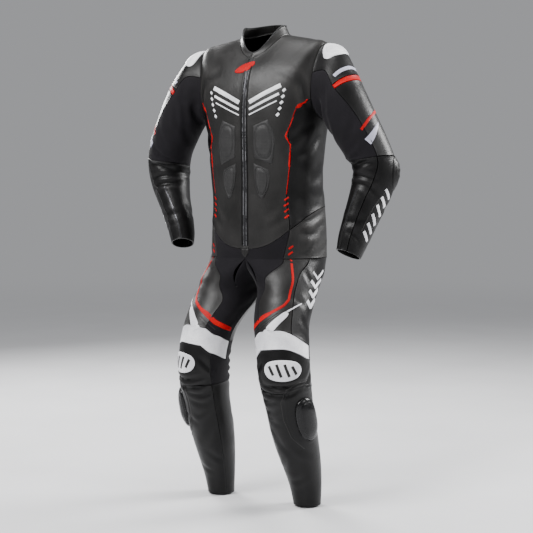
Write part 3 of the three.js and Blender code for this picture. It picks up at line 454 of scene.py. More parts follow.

# The main creases: start and end as angle and section, how far the middle bows down in
# sections, depth and half width in millimetres. side names the one arm, leg or half that has it.
CREASE_COLUMNS = ("angle", "at", "end_angle", "end_at", "bow", "depth", "width")
CREASES = {
    "sleeve": {
        "both": table(
            CREASE_COLUMNS,
            (108, 0.4, 172, 1.7, 0.1, 2.6, 9),
            (76, 1.0, 140, 2.9, -0.1, 1.7, 10),
            (120, 2.6, 182, 4.3, 0.2, 2.2, 11),
            (200, 1.2, 262, 2.6, 0.1, 2.0, 11),
            (58, 3.9, 118, 5.0, 0.1, 1.4, 9),
            (84, 5.7, 186, 6.2, 0.25, 2.6, 8),
            (62, 6.5, 196, 6.7, 0.2, 3.4, 7),
            (96, 7.1, 204, 7.15, 0.1, 3.8, 6.5),
            (52, 7.9, 178, 7.55, -0.1, 2.9, 7),
            (30, 8.7, 128, 8.2, -0.2, 2.0, 9),
            (214, 6.1, 286, 6.6, 0.1, 2.2, 9),
            (208, 7.4, 300, 7.3, -0.1, 2.4, 8),
            (236, 8.3, 306, 8.8, 0.1, 1.6, 9),
            (40, 9.8, 132, 10.3, 0.15, 1.5, 9),
            (150, 9.4, 226, 9.9, 0.1, 1.4, 10),
            (16, 11.1, 96, 10.7, -0.1, 1.2, 7),
            (250, 10.2, 330, 10.9, 0.1, 1.3, 9),
        ),
        "left": table(
            CREASE_COLUMNS,
            (70, 4.7, 150, 5.6, 0.2, 1.8, 9),
            (150, 6.2, 226, 6.9, 0.1, 2.0, 8),
            (-52, 8.6, 22, 9.1, 0.15, 1.6, 8),
            (-34, 9.9, 30, 9.6, 0.1, 1.2, 8),
        ),
        "right": table(
            CREASE_COLUMNS,
            (66, 5.1, 138, 5.9, 0.15, 2.0, 8),
            (80, 8.3, 168, 8.0, 0.1, 2.2, 7),
            (-40, 9.2, 26, 8.7, 0.1, 1.5, 9),
            (86, 1.9, 124, 3.6, 0.1, 1.6, 9),
        ),
    },
    "leg": {
        "both": table(
            CREASE_COLUMNS,
            (164, 0.6, 146, 1.8, 0.1, 1.6, 10),
            (176, 1.2, 154, 2.9, 0.2, 1.4, 11),
            (86, 0.9, 60, 1.3, 0.1, 0.8, 12),
            (170, 2.6, 154, 4.0, 0.1, 1.2, 11),
            (208, 1.0, 262, 2.0, 0.2, 2.4, 12),
            (300, 0.6, 340, 1.9, 0.1, 1.8, 11),
            (220, 2.6, 290, 3.5, 0.15, 1.6, 12),
            (8, 7.2, 128, 7.24, 0.26, 3.0, 6),
            (20, 7.56, 138, 7.66, 0.34, 3.2, 7),
            (66, 8.06, 146, 8.2, 0.24, 2.4, 7),
            (78, 8.56, 142, 8.8, 0.2, 1.8, 8),
            (130, 9.1, 84, 9.5, 0.12, 1.6, 7),
            (96, 11.3, 142, 12.1, 0.1, 1.2, 8),
            (-28, 6.6, 14, 7.5, 0.1, 1.8, 8),
            (112, 6.0, 150, 7.0, 0.1, 1.7, 8),
            (186, 6.2, 262, 6.3, 0.1, 2.2, 8),
            (196, 6.8, 284, 6.75, 0.12, 2.9, 7),
            (190, 7.3, 276, 7.4, 0.1, 2.6, 7),
            (204, 7.9, 268, 7.95, 0.1, 1.9, 8),
            (128, 9.7, 82, 11.0, 0.1, 1.3, 10),
            (210, 9.6, 262, 10.6, 0.1, 1.5, 11),
            (44, 12.2, 110, 12.7, 0.1, 1.2, 8),
            (230, 12.0, 300, 12.5, 0.1, 1.2, 8),
        ),
        "left": table(
            CREASE_COLUMNS,
            (30, 0.6, 2, 1.7, 0.1, 2.0, 8),
            (46, 1.9, 14, 2.7, 0.1, 1.4, 9),
            (20, 3.3, -16, 4.2, 0.1, 1.3, 9),
            (74, 10.4, 20, 11.3, 0.1, 1.2, 9),
        ),
        "right": table(
            CREASE_COLUMNS,
            (62, 1.1, 24, 2.1, 0.1, 1.7, 9),
            (30, 3.6, -6, 4.6, 0.1, 1.3, 9),
            (40, 9.3, 96, 9.9, 0.1, 1.4, 9),
        ),
    },
    "torso": {
        "both": table(
            CREASE_COLUMNS,
            (72, 5.75, 40, 6.5, 0.1, 2.0, 10),
            (88, 6.2, 54, 7.1, 0.1, 1.8, 10),
            (46, 3.2, 58, 5.2, 0.1, 1.5, 9),
            (34, 2.0, 46, 3.9, 0.1, 1.0, 10),
            (110, 7.4, 72, 8.2, 0.1, 1.1, 15),
            (114, 8.3, 84, 8.8, 0.12, 0.9, 12),
            (20, 9.9, 42, 9.3, 0.1, 1.0, 9),
            (172, 7.2, 128, 7.8, 0.1, 2.2, 11),
            (176, 7.9, 132, 8.4, 0.12, 2.0, 10),
            (130, 2.4, 116, 4.0, 0.1, 1.8, 11),
            (122, 5.2, 150, 6.1, 0.1, 1.7, 11),
            (168, 9.9, 140, 10.9, 0.1, 1.8, 12),
            (160, 3.2, 136, 4.9, 0.1, 1.2, 12),
        ),
        "left": table(
            CREASE_COLUMNS,
            (98, 9.3, 58, 9.72, 0.1, 1.5, 8),
            (106, 9.66, 78, 9.94, 0.05, 1.1, 6),
            (90, 10.0, 56, 10.08, 0.12, 1.6, 9),
            (112, 10.2, 86, 10.74, 0.06, 1.3, 7),
            (78, 10.36, 58, 10.86, 0.04, 1.0, 6),
        ),
        "right": table(
            CREASE_COLUMNS,
            (92, 9.4, 58, 10.0, 0.1, 1.7, 8),
            (106, 9.9, 70, 10.4, 0.08, 1.8, 7),
            (84, 10.4, 56, 10.9, 0.06, 1.4, 7),
        ),
    },
}
CREASE_STEPS = 14
FOLD_LIP = 0.42
FOLD_REACH = 4.0


def crease_lines(region, side):
    """Each crease as a line of points on the smooth surface, with its depth and half width."""
    surface = {"sleeve": sleeve_point, "leg": leg_point, "torso": lambda a, v, _side: torso_point(a, v)}[region]
    along = np.linspace(0, 1, CREASE_STEPS)
    lines = []
    for which in ("both", side):
        creases = CREASES[region][which]
        for place in range(len(creases["depth"])):
            row = {name: column[place] for name, column in creases.items()}
            angle = blend(row["angle"], row["end_angle"], along)
            at = blend(row["at"], row["end_at"], along) + row["bow"] * np.sin(math.pi * along)
            lines.append((surface(angle, at, side), row["depth"], row["width"]))
    return lines


def crease_depth(points, lines):
    """How far the surface is moved out at each point: troughs with a soft lip, fading at their ends."""
    moved = np.zeros(len(points))
    for line, depth, width in lines:
        reach = FOLD_REACH * width
        low, high = line.min(axis=0) - reach, line.max(axis=0) + reach
        near = np.flatnonzero(np.all((points > low) & (points < high), axis=1))
        if not len(near):
            continue
        start, step = line[:-1], np.diff(line, axis=0)
        offset = points[near][:, None] - start[None]
        share = np.clip((offset * step).sum(-1) / (step * step).sum(-1), 0, 1)
        gap = np.linalg.norm(offset - share[..., None] * step, axis=-1)
        closest = gap.argmin(axis=1)
        picked = np.arange(len(near))
        along = (closest + share[picked, closest]) / len(step)
        across = gap[picked, closest] / width
        fade = np.sin(math.pi * np.clip(along, 0, 1)) ** 0.7
        profile = -np.exp(-across ** 2) + FOLD_LIP * np.exp(-((across - 1.9) / 0.9) ** 2)
        moved[near] += depth * fade * profile
    return moved


# A cut panel's edge: it dips at the seam, rises where it is folded under, and lies flat beyond.
SEAM = {"dip": 1.7, "ridge": 0.8, "fold": 1.7, "settles": 7.0}
RIM_STEP = 1.5
MERGE = 0.05
SHARP_EDGE = math.radians(50)
NEAR_SEAM = "near_seam"
TROUGH = "trough"
CREST = "crest"
FULL_TROUGH = 2.6
FULL_CREST = 1.3

# What the panels leave for the pieces that lie on them: their outside faces, and their seams.
suit = {"points": [], "faces": [], "count": 0, "seams": {}, "tree": None}


def block_mesh(bm, block, side, mirrored):
    """Adds one block of the grid to a bmesh, finely divided."""
    grid, first_column, last_column, first_row, last_row = block
    across, down = FINENESS[grid]
    columns = np.linspace(first_column, last_column, (last_column - first_column) * across + 1)
    rows = np.linspace(first_row, last_row, (last_row - first_row) * down + 1)
    column, row = (item.ravel() for item in np.meshgrid(columns, rows, indexing="ij"))
    points = GRIDS[grid](column, row, side)
    if mirrored:
        points[:, 0] *= -1
    vertices = [bm.verts.new(point) for point in points.tolist()]
    turned = (grid == "sleeve") != mirrored
    count = len(rows)
    for i in range(len(columns) - 1):
        for j in range(count - 1):
            corners = [i * count + j, i * count + j + 1, (i + 1) * count + j + 1, (i + 1) * count + j]
            if turned:
                corners.reverse()
            bm.faces.new([vertices[k] for k in corners])
    lattice = points.reshape(len(columns), count, 3)
    below = ROW["seat"] if grid == "leg" else 0
    return lattice_arcs(lattice, columns * (-1 if mirrored else 1), rows + below)


def midway(values, axis=0):
    values = np.moveaxis(values, axis, 0)
    return np.moveaxis((values[1:] + values[:-1]) / 2, 0, axis)


def lattice_arcs(lattice, columns, rows):
    """The lengths of a block's lines across and down, midway between its rows and columns."""
    across = np.linalg.norm(np.diff(midway(lattice, 1), axis=0), axis=-1).sum(axis=0)
    down = np.linalg.norm(np.diff(midway(lattice, 0), axis=1), axis=-1).sum(axis=1)
    return dict(zip(midway(rows).round(3), across)), dict(zip(midway(columns).round(3), down))


def flat_cut(arcs):
    """The width and length a piece is cut to: its longest lines across and down, over all its blocks."""
    sizes = []
    for direction in (0, 1):
        total = {}
        for arc in arcs:
            for place, length in arc[direction].items():
                total[place] = total.get(place, 0) + length
        sizes.append(max(total.values()))
    return sizes


def rim_samples(bm):
    """Points along a piece's edge, close together."""
    samples = []
    for edge in bm.edges:
        if edge.is_boundary:
            start, end = (vertex.co for vertex in edge.verts)
            steps = max(1, round((end - start).length / RIM_STEP))
            samples.extend(start.lerp(end, step / steps) for step in range(steps + 1))
    return samples


def seam_distance(bm):
    samples = rim_samples(bm)
    tree = kdtree.KDTree(len(samples))
    for index, point in enumerate(samples):
        tree.insert(point, index)
    tree.balance()
    return np.array([tree.find(vertex.co)[2] for vertex in bm.verts])


def seam_profile(distance):
    dip = -(SEAM["dip"] + SEAM["ridge"]) * np.clip(1 - distance / SEAM["fold"], 0, 1) ** 1.5
    ridge = SEAM["ridge"] * np.clip(1 - (distance - SEAM["fold"]) / SEAM["settles"], 0, 1) ** 2
    return dip + ridge


def stitch_path(bm, outer, normals, inset):
    """A seam's line of stitches: the piece's edge moved in over its surface, as points, ups and links."""
    places, points, ups, links = {}, [], [], []
    for edge in bm.edges:
        if not edge.is_boundary:
            continue
        for vertex in edge.verts:
            if vertex.index in places:
                continue
            inwards = np.zeros(3)
            for face in vertex.link_faces:
                inwards += np.array(face.calc_center_median() - vertex.co)
            up = normals[vertex.index]
            inwards -= up * inwards.dot(up)
            inwards /= np.linalg.norm(inwards) + 1e-9
            places[vertex.index] = len(points)
            points.append(outer[vertex.index] + inwards * inset)
            ups.append(up)
        links.append([places[vertex.index] for vertex in edge.verts])
    return points, ups, links


def make_mesh(name, points, faces, sharp=SHARP_EDGE):
    """A piece from points in millimetres, smooth but for its sharp edges."""
    mesh = bpy.data.meshes.new(name)
    mesh.from_pydata((np.asarray(points) * MM).tolist(), [], faces)
    mesh.validate()
    mesh.shade_smooth()
    mesh.set_sharp_from_angle(angle=sharp)
    piece = bpy.data.objects.new(name, mesh)
    bpy.context.collection.objects.link(piece)
    return piece


def finish_piece(piece, finish, *nodes, material=None):
    """Gives a piece its material, its body and the node it stands for."""
    piece.data.materials.clear()
    piece.data.materials.append(material or finish_of(finish))
    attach(piece, "root")
    if nodes:
        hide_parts(*nodes)
    return piece


def cut_panel(piece, side):
    """Makes one cut piece as a thin shell: fine outside, creased, with dipped and folded edges."""
    sizes = bpy.context.scene.race_suit_sizes
    finish, blocks = CUT_PIECES[piece]
    bm = bmesh.new()
    arcs = []
    for half in SIDES if piece in WHOLE_PIECES else (side,):
        arcs += [block_mesh(bm, block, half, half == "right") for block in blocks]
    bmesh.ops.remove_doubles(bm, verts=bm.verts, dist=MERGE)
    bmesh.ops.inset_region(bm, faces=bm.faces[:], thickness=SEAM["fold"], use_boundary=True, use_even_offset=True)
    bm.verts.index_update()
    bm.normal_update()
    points = np.array([vertex.co for vertex in bm.verts])
    normals = np.array([vertex.normal for vertex in bm.verts])
    distance = seam_distance(bm)
    region = {"sleeve": "sleeve", "leg": "leg"}.get(blocks[0][0], "torso")
    regions = {"torso", "leg"} if region != "sleeve" else {"sleeve"}
    edge = seam_profile(distance) * (0.4 if finish in ("stretch", "zip") else 1)
    creased = np.zeros(len(points))
    for half in SIDES if piece in WHOLE_PIECES else (side,):
        mirror = np.array([-1 if half == "right" else 1, 1, 1])
        for name in sorted(regions):
            creased += sizes.crease_scale * crease_depth(points * mirror, crease_lines(name, half))
    outer = points + normals * (edge + creased)[:, None]
    inner = outer - normals * sizes.wall * 1000
    faces = [[vertex.index for vertex in face.verts] for face in bm.faces]
    count = len(points)
    walls = []
    for rim in bm.edges:
        if rim.is_boundary:
            loop = rim.link_loops[0]
            start, end = loop.vert.index, loop.link_loop_next.vert.index
            walls.append([end, start, start + count, end + count])
    inside = [[index + count for index in reversed(face)] for face in faces]
    name = piece if piece in WHOLE_PIECES else f"{piece}_{side}"
    shell = make_mesh(f"{name}_panel", np.concatenate([outer, inner]), faces + inside + walls)
    # near_seam drives the seams' wear and their painted groove shade; trough and crest drive painted shade in the
    # creases' troughs and a painted highlight on their crests.
    shares = {
        NEAR_SEAM: 1 - distance / SEAM["settles"], TROUGH: -creased / FULL_TROUGH, CREST: creased / FULL_CREST,
    }
    for label, share in shares.items():
        attribute = shell.data.attributes.new(label, "FLOAT", "POINT")
        share = np.clip(share, 0, 1)
        attribute.data.foreach_set("value", np.concatenate([share, share]).astype(np.float32))
    finish_piece(shell, finish, name)
    width, length = flat_cut(arcs)
    area = sum(face.calc_area() for face in bm.faces)
    area = min(max(area, 0.3 * width * length), width * length)
    suit["faces"] += [[index + suit["count"] for index in face] for face in faces]
    suit["points"].append(outer)
    suit["count"] += count
    if finish not in ("zip", "stretch"):
        path = stitch_path(bm, outer, normals, sizes.stitch_inset * 1000)
        suit["seams"].setdefault((region, finish == "white"), []).append(path)
    bm.free()


def on_suit(points):
    """The nearest places on the panels' outside, and the surface's outward normals there."""
    if suit["tree"] is None:
        suit["tree"] = BVHTree.FromPolygons(np.concatenate(suit["points"]).tolist(), suit["faces"])
    found = [suit["tree"].find_nearest(Vector(point)) for point in points]
    return np.array([place for place, *_ in found]), np.array([normal for _, normal, *_ in found])

# Pieces laid on a sleeve or leg: middle and half the size, in degrees and sections. corner is 0 for
# square corners and 1 for an ellipse; edge, rise and above are in millimetres.
LAID_ON_LIMBS = {
    "shoulder_cup": dict(limb="sleeve", finish="white", angle=4, span=46, w=0.77, reach=0.56, corner=1.1,
                         edge=1.6, rise=3.5, crown=2.5, above=0, relief="cup"),
    "elbow_cup": dict(limb="sleeve", finish="shaded_leather", angle=-30, span=42, w=7, reach=0.95, corner=0.9,
                      edge=1.6, rise=6, crown=2.5, above=0, relief="ribs"),
    "knee_patch": dict(limb="leg", finish="white", angle=61, span=43, w=6.44, reach=0.62, corner=0.9,
                       edge=1.5, rise=0.6, crown=4, above=0, relief="plain"),
    "slider_base": dict(limb="leg", finish="shaded_leather", angle=22, span=48, w=9, reach=1.6, corner=0.8,
                        edge=1.6, rise=0, crown=4, above=0, relief="plain"),
    "knee_slider": dict(limb="leg", finish="slider", angle=18, span=30, w=9.3, reach=1.1, corner=0.85,
                        edge=4, rise=15, crown=2.5, above=2.6, relief="puck"),
}
RUNG_COLUMNS = ("from_x", "from_z", "to_x", "to_z")
PAD_RUNGS = {
    "upper": table(
        RUNG_COLUMNS, (30, -218, 76, -200), (30, -246, 93, -244), (31, -278, 92, -290), (33, -308, 85, -328)
    ),
    "lower": table(
        RUNG_COLUMNS, (30, -325, 75, -343), (31, -355, 78, -367), (36, -390, 72, -397), (46, -421, 57, -426)
    ),
}
THROAT_PATCH_RUNGS = table(
    RUNG_COLUMNS, (-44, -57, -42, -63), (-28, -43, -22, -64), (-4, -33, 2, -56), (15, -31, 17, -40)
)
ZIP_TAB_RUNGS = table(RUNG_COLUMNS, (-13, -564, -12, -583), (0, -564, 0, -596), (13, -564, 12, -583))
LAID_CELLS = 44
SMALL_STEP = 0.02
BURIED = 0.35


def limb_surface(limb):
    return sleeve_point if limb == "sleeve" else leg_point


def limb_spot(row, side):
    """The surface under a piece laid on a limb, with across and down running from -1 to 1."""
    def spot(across, down):
        round_it = across * np.sqrt(1 - row["corner"] * down * down / 2)
        along = down * np.sqrt(1 - row["corner"] * across * across / 2)
        point = limb_surface(row["limb"])(row["angle"] - row["span"] * round_it, row["w"] + row["reach"] * along, side)
        return point * np.array([-1 if side == "right" else 1, 1, 1])
    return spot


def front_place(x, z):
    """The torso's front at a given distance from the centre line and height."""
    x, z = np.broadcast_arrays(np.asarray(x, float), np.asarray(z, float))
    above, below = np.zeros_like(x), np.full_like(x, SEAT)
    for _ in range(HALVINGS):
        v = (above + below) / 2
        higher = torso_point(np.sign(x) * angle_across(x, v), v)[..., 2] > z
        above, below = np.where(higher, v, above), np.where(higher, below, v)
    return torso_point(np.sign(x) * angle_across(x, above), above)


def rung_spot(rungs, mirror):
    """The surface under a piece given by rungs, with across from rung to rung and down along them."""
    keys = np.arange(len(rungs["from_x"]))
    def spot(across, down):
        along = (across + 1) / 2 * keys[-1]
        share = (down + 1) / 2
        x = blend(smooth_curve(keys, rungs["from_x"], along), smooth_curve(keys, rungs["to_x"], along), share)
        z = blend(smooth_curve(keys, rungs["from_z"], along), smooth_curve(keys, rungs["to_z"], along), share)
        return front_place(mirror * x, z)
    return spot


def bell(value, middle, width):
    return np.exp(-((value - middle) / width) ** 2)


def relief_of(kind, across, down):
    """The low relief on a laid piece's top, in millimetres."""
    reach = (np.abs(across) ** 3 + np.abs(down) ** 3) ** (1 / 3)
    if kind == "cup":
        return -1.1 * bell(reach, 0.74, 0.05) + 0.5 * bell(reach, 0.86, 0.07)
    if kind == "ribs":
        ribs = sum(bell(down, middle, 0.09) for middle in (-0.45, -0.1, 0.25))
        return 1.3 * ribs * np.clip(1.15 - 1.6 * np.abs(across), 0, 1) - 0.9 * bell(reach, 0.82, 0.05)
    if kind == "pad":
        return -1.8 * bell(reach, 0.8, 0.06) + 0.5 * bell(reach, 0.6, 0.1)
    if kind == "puck":
        return -0.9 * bell(reach, 0.84, 0.03) - 0.5 * np.clip((0.5 - reach) * 6, 0, 1)
    return -0.5 * bell(reach, 0.86, 0.05)


def laid_shell(spot, form, turn):
    """A crowned closed piece that follows the surface under it. turn is 1 where across runs from the
    viewer's left to right, and -1 where it runs the other way."""
    steps = np.linspace(-1, 1, LAID_CELLS + 1)
    across, down = (item.ravel() for item in np.meshgrid(steps, steps))
    along = spot(across + SMALL_STEP, down) - spot(across - SMALL_STEP, down)
    downward = spot(across, down + SMALL_STEP) - spot(across, down - SMALL_STEP)
    normal = turn * np.cross(downward, along)
    normal /= np.linalg.norm(normal, axis=1)[:, None]
    foot, _ = on_suit(spot(across, down))
    near_edge = (1 - np.maximum(np.abs(across), np.abs(down))) / 0.09
    edge = form["edge"] * (0.35 + 0.65 * np.sqrt(np.clip(near_edge, 0, 1)))
    crown = (1 - np.abs(across) ** form["crown"]) * (1 - np.abs(down) ** form["crown"])
    height = form["above"] + edge + form["rise"] * crown + relief_of(form["relief"], across, down)
    over = foot + normal * height[:, None]
    under = foot + normal * (form["above"] - BURIED)
    count = len(over)
    row = LAID_CELLS + 1
    faces = []
    for j in range(LAID_CELLS):
        for i in range(LAID_CELLS):
            a, b, c, d = j * row + i, (j + 1) * row + i, (j + 1) * row + i + 1, j * row + i + 1
            faces += [[a, b, c, d], [a + count, d + count, c + count, b + count]]
        for a, b in ((j * row, (j + 1) * row), ((j + 1) * row + LAID_CELLS, j * row + LAID_CELLS)):
            faces.append([a, a + count, b + count, b])
        for a, b in ((j + 1, j), (LAID_CELLS * row + j, LAID_CELLS * row + j + 1)):
            faces.append([a, a + count, b + count, b])
    if turn < 0:
        faces = [face[::-1] for face in faces]
    return np.concatenate([over, under]), faces


def laid_piece(node, spot, form, turn):
    piece = make_mesh(f"{node}_cover", *laid_shell(spot, form, turn), sharp=math.radians(38))
    return finish_piece(piece, form["finish"], node)


# Ribbons: piping, stripes, bands and dashes, each a path over the suit with its width along it.
RIBBON_STEP = 4.0
RIBBON_PROFILE = ((-1, -BURIED), (-1, 0.6), (-0.6, 1.0), (0, 1.05), (0.6, 1.0), (1, 0.6), (1, -BURIED))


def resampled(path, widths):
    """A path and its widths at even steps."""
    lengths = np.concatenate([[0], np.cumsum(np.linalg.norm(np.diff(path, axis=0), axis=1))])
    steps = max(2, int(lengths[-1] / RIBBON_STEP) + 1)
    at = np.linspace(0, lengths[-1], steps)
    points = np.stack([np.interp(at, lengths, path[:, axis]) for axis in range(3)], axis=-1)
    return points, np.interp(at, lengths, widths)


def ribbon(path, widths, height, foot=0.0):
    """A closed raised strip along a path, following the panels under it. foot lifts it onto a patch."""
    points, widths = resampled(np.asarray(path, float), np.broadcast_to(widths, len(path)))
    middle, up = on_suit(points)
    ahead = np.gradient(points, axis=0)
    across = np.cross(up, ahead)
    across /= np.linalg.norm(across, axis=1)[:, None] + 1e-9
    rows = []
    for offset, lift in RIBBON_PROFILE:
        place, normal = on_suit(middle + across * (widths * offset / 2)[:, None])
        raised = lift * (height if lift > 0 else 1) + foot
        rows.append(place + normal * raised)
    lattice = np.stack(rows, axis=1)
    count = len(RIBBON_PROFILE)
    faces = []
    for i in range(len(points) - 1):
        for j in range(count):
            k = (j + 1) % count
            faces.append([i * count + j, (i + 1) * count + j, (i + 1) * count + k, i * count + k])
    last = (len(points) - 1) * count
    faces.append(list(range(count)))
    faces.append([last + j for j in reversed(range(count))])
    return lattice.reshape(-1, 3), faces


def joined(shapes):
    """Several closed shapes as one list of points and faces."""
    points, faces, count = [], [], 0
    for shape_points, shape_faces in shapes:
        points.append(shape_points)
        faces += [[index + count for index in face] for face in shape_faces]
        count += len(shape_points)
    return np.concatenate(points), faces


def outward(piece):
    """Turns a piece's faces outwards."""
    bm = bmesh.new()
    bm.from_mesh(piece.data)
    bmesh.ops.recalc_face_normals(bm, faces=bm.faces)
    bm.to_mesh(piece.data)
    bm.free()
    return piece


def trim_piece(name, shapes, finish):
    """Trim sewn or bonded to the panels, joined as one piece."""
    piece = outward(make_mesh(name, *joined(shapes), sharp=math.radians(60)))
    return finish_piece(piece, finish)


def mirrored(points, side):
    return points * np.array([-1 if side == "right" else 1, 1, 1])


def limb_path(limb, side, *places):
    """A path over a limb through places given as angle and section."""
    angle, at = (np.array(item, float) for item in zip(*places))
    steps = np.linspace(0, len(places) - 1, 12 * (len(places) - 1) + 1)
    keys = np.arange(len(places))
    return mirrored(limb_surface(limb)(np.interp(steps, keys, angle), np.interp(steps, keys, at), side), side)


def front_path(side, *places):
    """A path over the torso's front through places given as X and Z, for the wearer's left."""
    x, z = (np.array(item, float) for item in zip(*places))
    steps = np.linspace(0, len(places) - 1, 10 * (len(places) - 1) + 1)
    keys = np.arange(len(places))
    return mirrored(front_place(np.interp(steps, keys, x), np.interp(steps, keys, z)), side)


def along_widths(path, *widths):
    return np.interp(np.linspace(0, 1, len(path)), np.linspace(0, 1, len(widths)), widths)


# Geometry Nodes: small shapes set in rows along seams.
def row_tree(name, shape):
    """A node tree that sets one small shape at even steps along a mesh's edges: thread or teeth."""
    tree = bpy.data.node_groups.new(name, "GeometryNodeTree")
    tree.interface.new_socket("Geometry", in_out="INPUT", socket_type="NodeSocketGeometry")
    for label in ("Pitch", "Length", "Width", "Height"):
        tree.interface.new_socket(label, in_out="INPUT", socket_type="NodeSocketFloat")
    tree.interface.new_socket("Material", in_out="INPUT", socket_type="NodeSocketMaterial")
    tree.interface.new_socket("Geometry", in_out="OUTPUT", socket_type="NodeSocketGeometry")
    given = tree.nodes.new("NodeGroupInput")
    curve = node(tree, "GeometryNodeMeshToCurve", {"Mesh": given.outputs["Geometry"]})
    points = node(
        tree, "GeometryNodeResampleCurve",
        {"Curve": curve.outputs["Curve"], "Length": given.outputs["Pitch"]}, mode="LENGTH",
    )
    if shape == "thread":
        small = node(tree, "GeometryNodeMeshIcoSphere", {"Radius": 0.5, "Subdivisions": 1})
    else:
        small = node(tree, "GeometryNodeMeshCube", {"Size": (1, 1, 1)})
    up = node(tree, "GeometryNodeInputNamedAttribute", {"Name": "up"}, data_type="FLOAT_VECTOR")
    tangent = node(tree, "GeometryNodeInputTangent")
    turn = node(
        tree, "FunctionNodeAxesToRotation",
        {"Primary Axis": up.outputs["Attribute"], "Secondary Axis": tangent.outputs["Tangent"]},
        primary_axis="Z", secondary_axis="X",
    )
    size = node(
        tree, "ShaderNodeCombineXYZ",
        {"X": given.outputs["Length"], "Y": given.outputs["Width"], "Z": given.outputs["Height"]},
    )
    placed = node(
        tree, "GeometryNodeInstanceOnPoints",
        {
            "Points": points.outputs["Curve"], "Instance": small.outputs["Mesh"],
            "Rotation": turn.outputs["Rotation"], "Scale": size.outputs["Vector"],
        },
    )
    smooth = node(
        tree, "GeometryNodeSetShadeSmooth",
        {"Geometry": placed.outputs["Instances"], "Shade Smooth": shape == "thread"},
    )
    real = node(tree, "GeometryNodeRealizeInstances", {"Geometry": smooth.outputs["Geometry"]})
    finished = node(
        tree, "GeometryNodeSetMaterial",
        {"Geometry": real.outputs["Geometry"], "Material": given.outputs["Material"]},
    )
    result = tree.nodes.new("NodeGroupOutput")
    tree.links.new(finished.outputs["Geometry"], result.inputs["Geometry"])
    return tree


def rows_along(name, tree, paths, sizes, material):
    """A piece made of small shapes along paths, each given as points, ups and links."""
    points, ups, links = [], [], []
    for path_points, path_ups, path_links in paths:
        links += [[index + len(points) for index in link] for link in path_links]
        points += list(path_points)
        ups += list(path_ups)
    mesh = bpy.data.meshes.new(name)
    mesh.from_pydata((np.array(points) * MM).tolist(), links, [])
    attribute = mesh.attributes.new("up", "FLOAT_VECTOR", "POINT")
    attribute.data.foreach_set("vector", np.array(ups, np.float32).ravel())
    piece = bpy.data.objects.new(name, mesh)
    bpy.context.collection.objects.link(piece)
    modifier = piece.modifiers.new("rows", "NODES")
    modifier.node_group = tree
    values = dict(zip(("Pitch", "Length", "Width", "Height"), sizes), Material=material)
    for item in tree.interface.items_tree:
        if item.in_out == "INPUT" and item.name in values:
            modifier[item.identifier] = values[item.name]
    plain = bpy.data.meshes.new_from_object(piece.evaluated_get(bpy.context.evaluated_depsgraph_get()))
    piece.modifiers.clear()
    piece.data = plain
    plain.name = name
    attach(piece, "root")
    return piece


def line_links(count):
    return [[place, place + 1] for place in range(count - 1)]


def open_path(path, lift):
    """A path for rows_along: its points on the suit, lifted a little."""
    points, _ = resampled(path, np.ones(len(path)))
    middle, up = on_suit(points)
    return middle + up * lift, up, line_links(len(points))


def node(tree, kind, inputs=None, **settings):
    """Adds a node, with its settings, and its inputs as values or as sockets to link."""
    made = tree.nodes.new(kind)
    for name, value in settings.items():
        setattr(made, name, value)
    for name, value in (inputs or {}).items():
        if isinstance(value, bpy.types.NodeSocket):
            tree.links.new(value, made.inputs[name])
        else:
            made.inputs[name].default_value = value
    return made

# Finishes. Colours are linear; lengths in the textures are set by their scale, per metre.
GRAIN = {"leather": 760, "white": 900, "red": 900, "pad": 700}
FLOOR_FADE = (1.5, 9.0)


def mixed(tree, share, low, high):
    """A colour between two, by a share socket."""
    made = node(tree, "ShaderNodeMix", {"Factor": share}, data_type="RGBA")
    colours = [socket for socket in made.inputs if socket.type == "RGBA"]
    for socket, value in zip(colours, (low, high)):
        if isinstance(value, bpy.types.NodeSocket):
            tree.links.new(value, socket)
        else:
            socket.default_value = (*value, 1)
    return next(socket for socket in made.outputs if socket.type == "RGBA")


def ranged(tree, value, low, high, to_low, to_high):
    inputs = {"Value": value, "From Min": low, "From Max": high, "To Min": to_low, "To Max": to_high}
    return node(tree, "ShaderNodeMapRange", inputs).outputs["Result"]


def bumped(tree, height, distance, strength, normal=None):
    inputs = {"Height": height, "Distance": distance, "Strength": strength}
    if normal:
        inputs["Normal"] = normal
    return node(tree, "ShaderNodeBump", inputs).outputs["Normal"]


def start_material(name):
    material = bpy.data.materials.new(name)
    material.use_nodes = True
    tree = material.node_tree
    tree.nodes.clear()
    place = node(tree, "ShaderNodeTexCoord").outputs["Object"]
    return material, tree, place


def end_material(tree, inputs):
    shader = node(tree, "ShaderNodeBsdfPrincipled", inputs)
    node(tree, "ShaderNodeOutputMaterial", {"Surface": shader.outputs["BSDF"]})


def tinted(colour, share):
    return tuple(min(1.0, value * share) for value in colour)


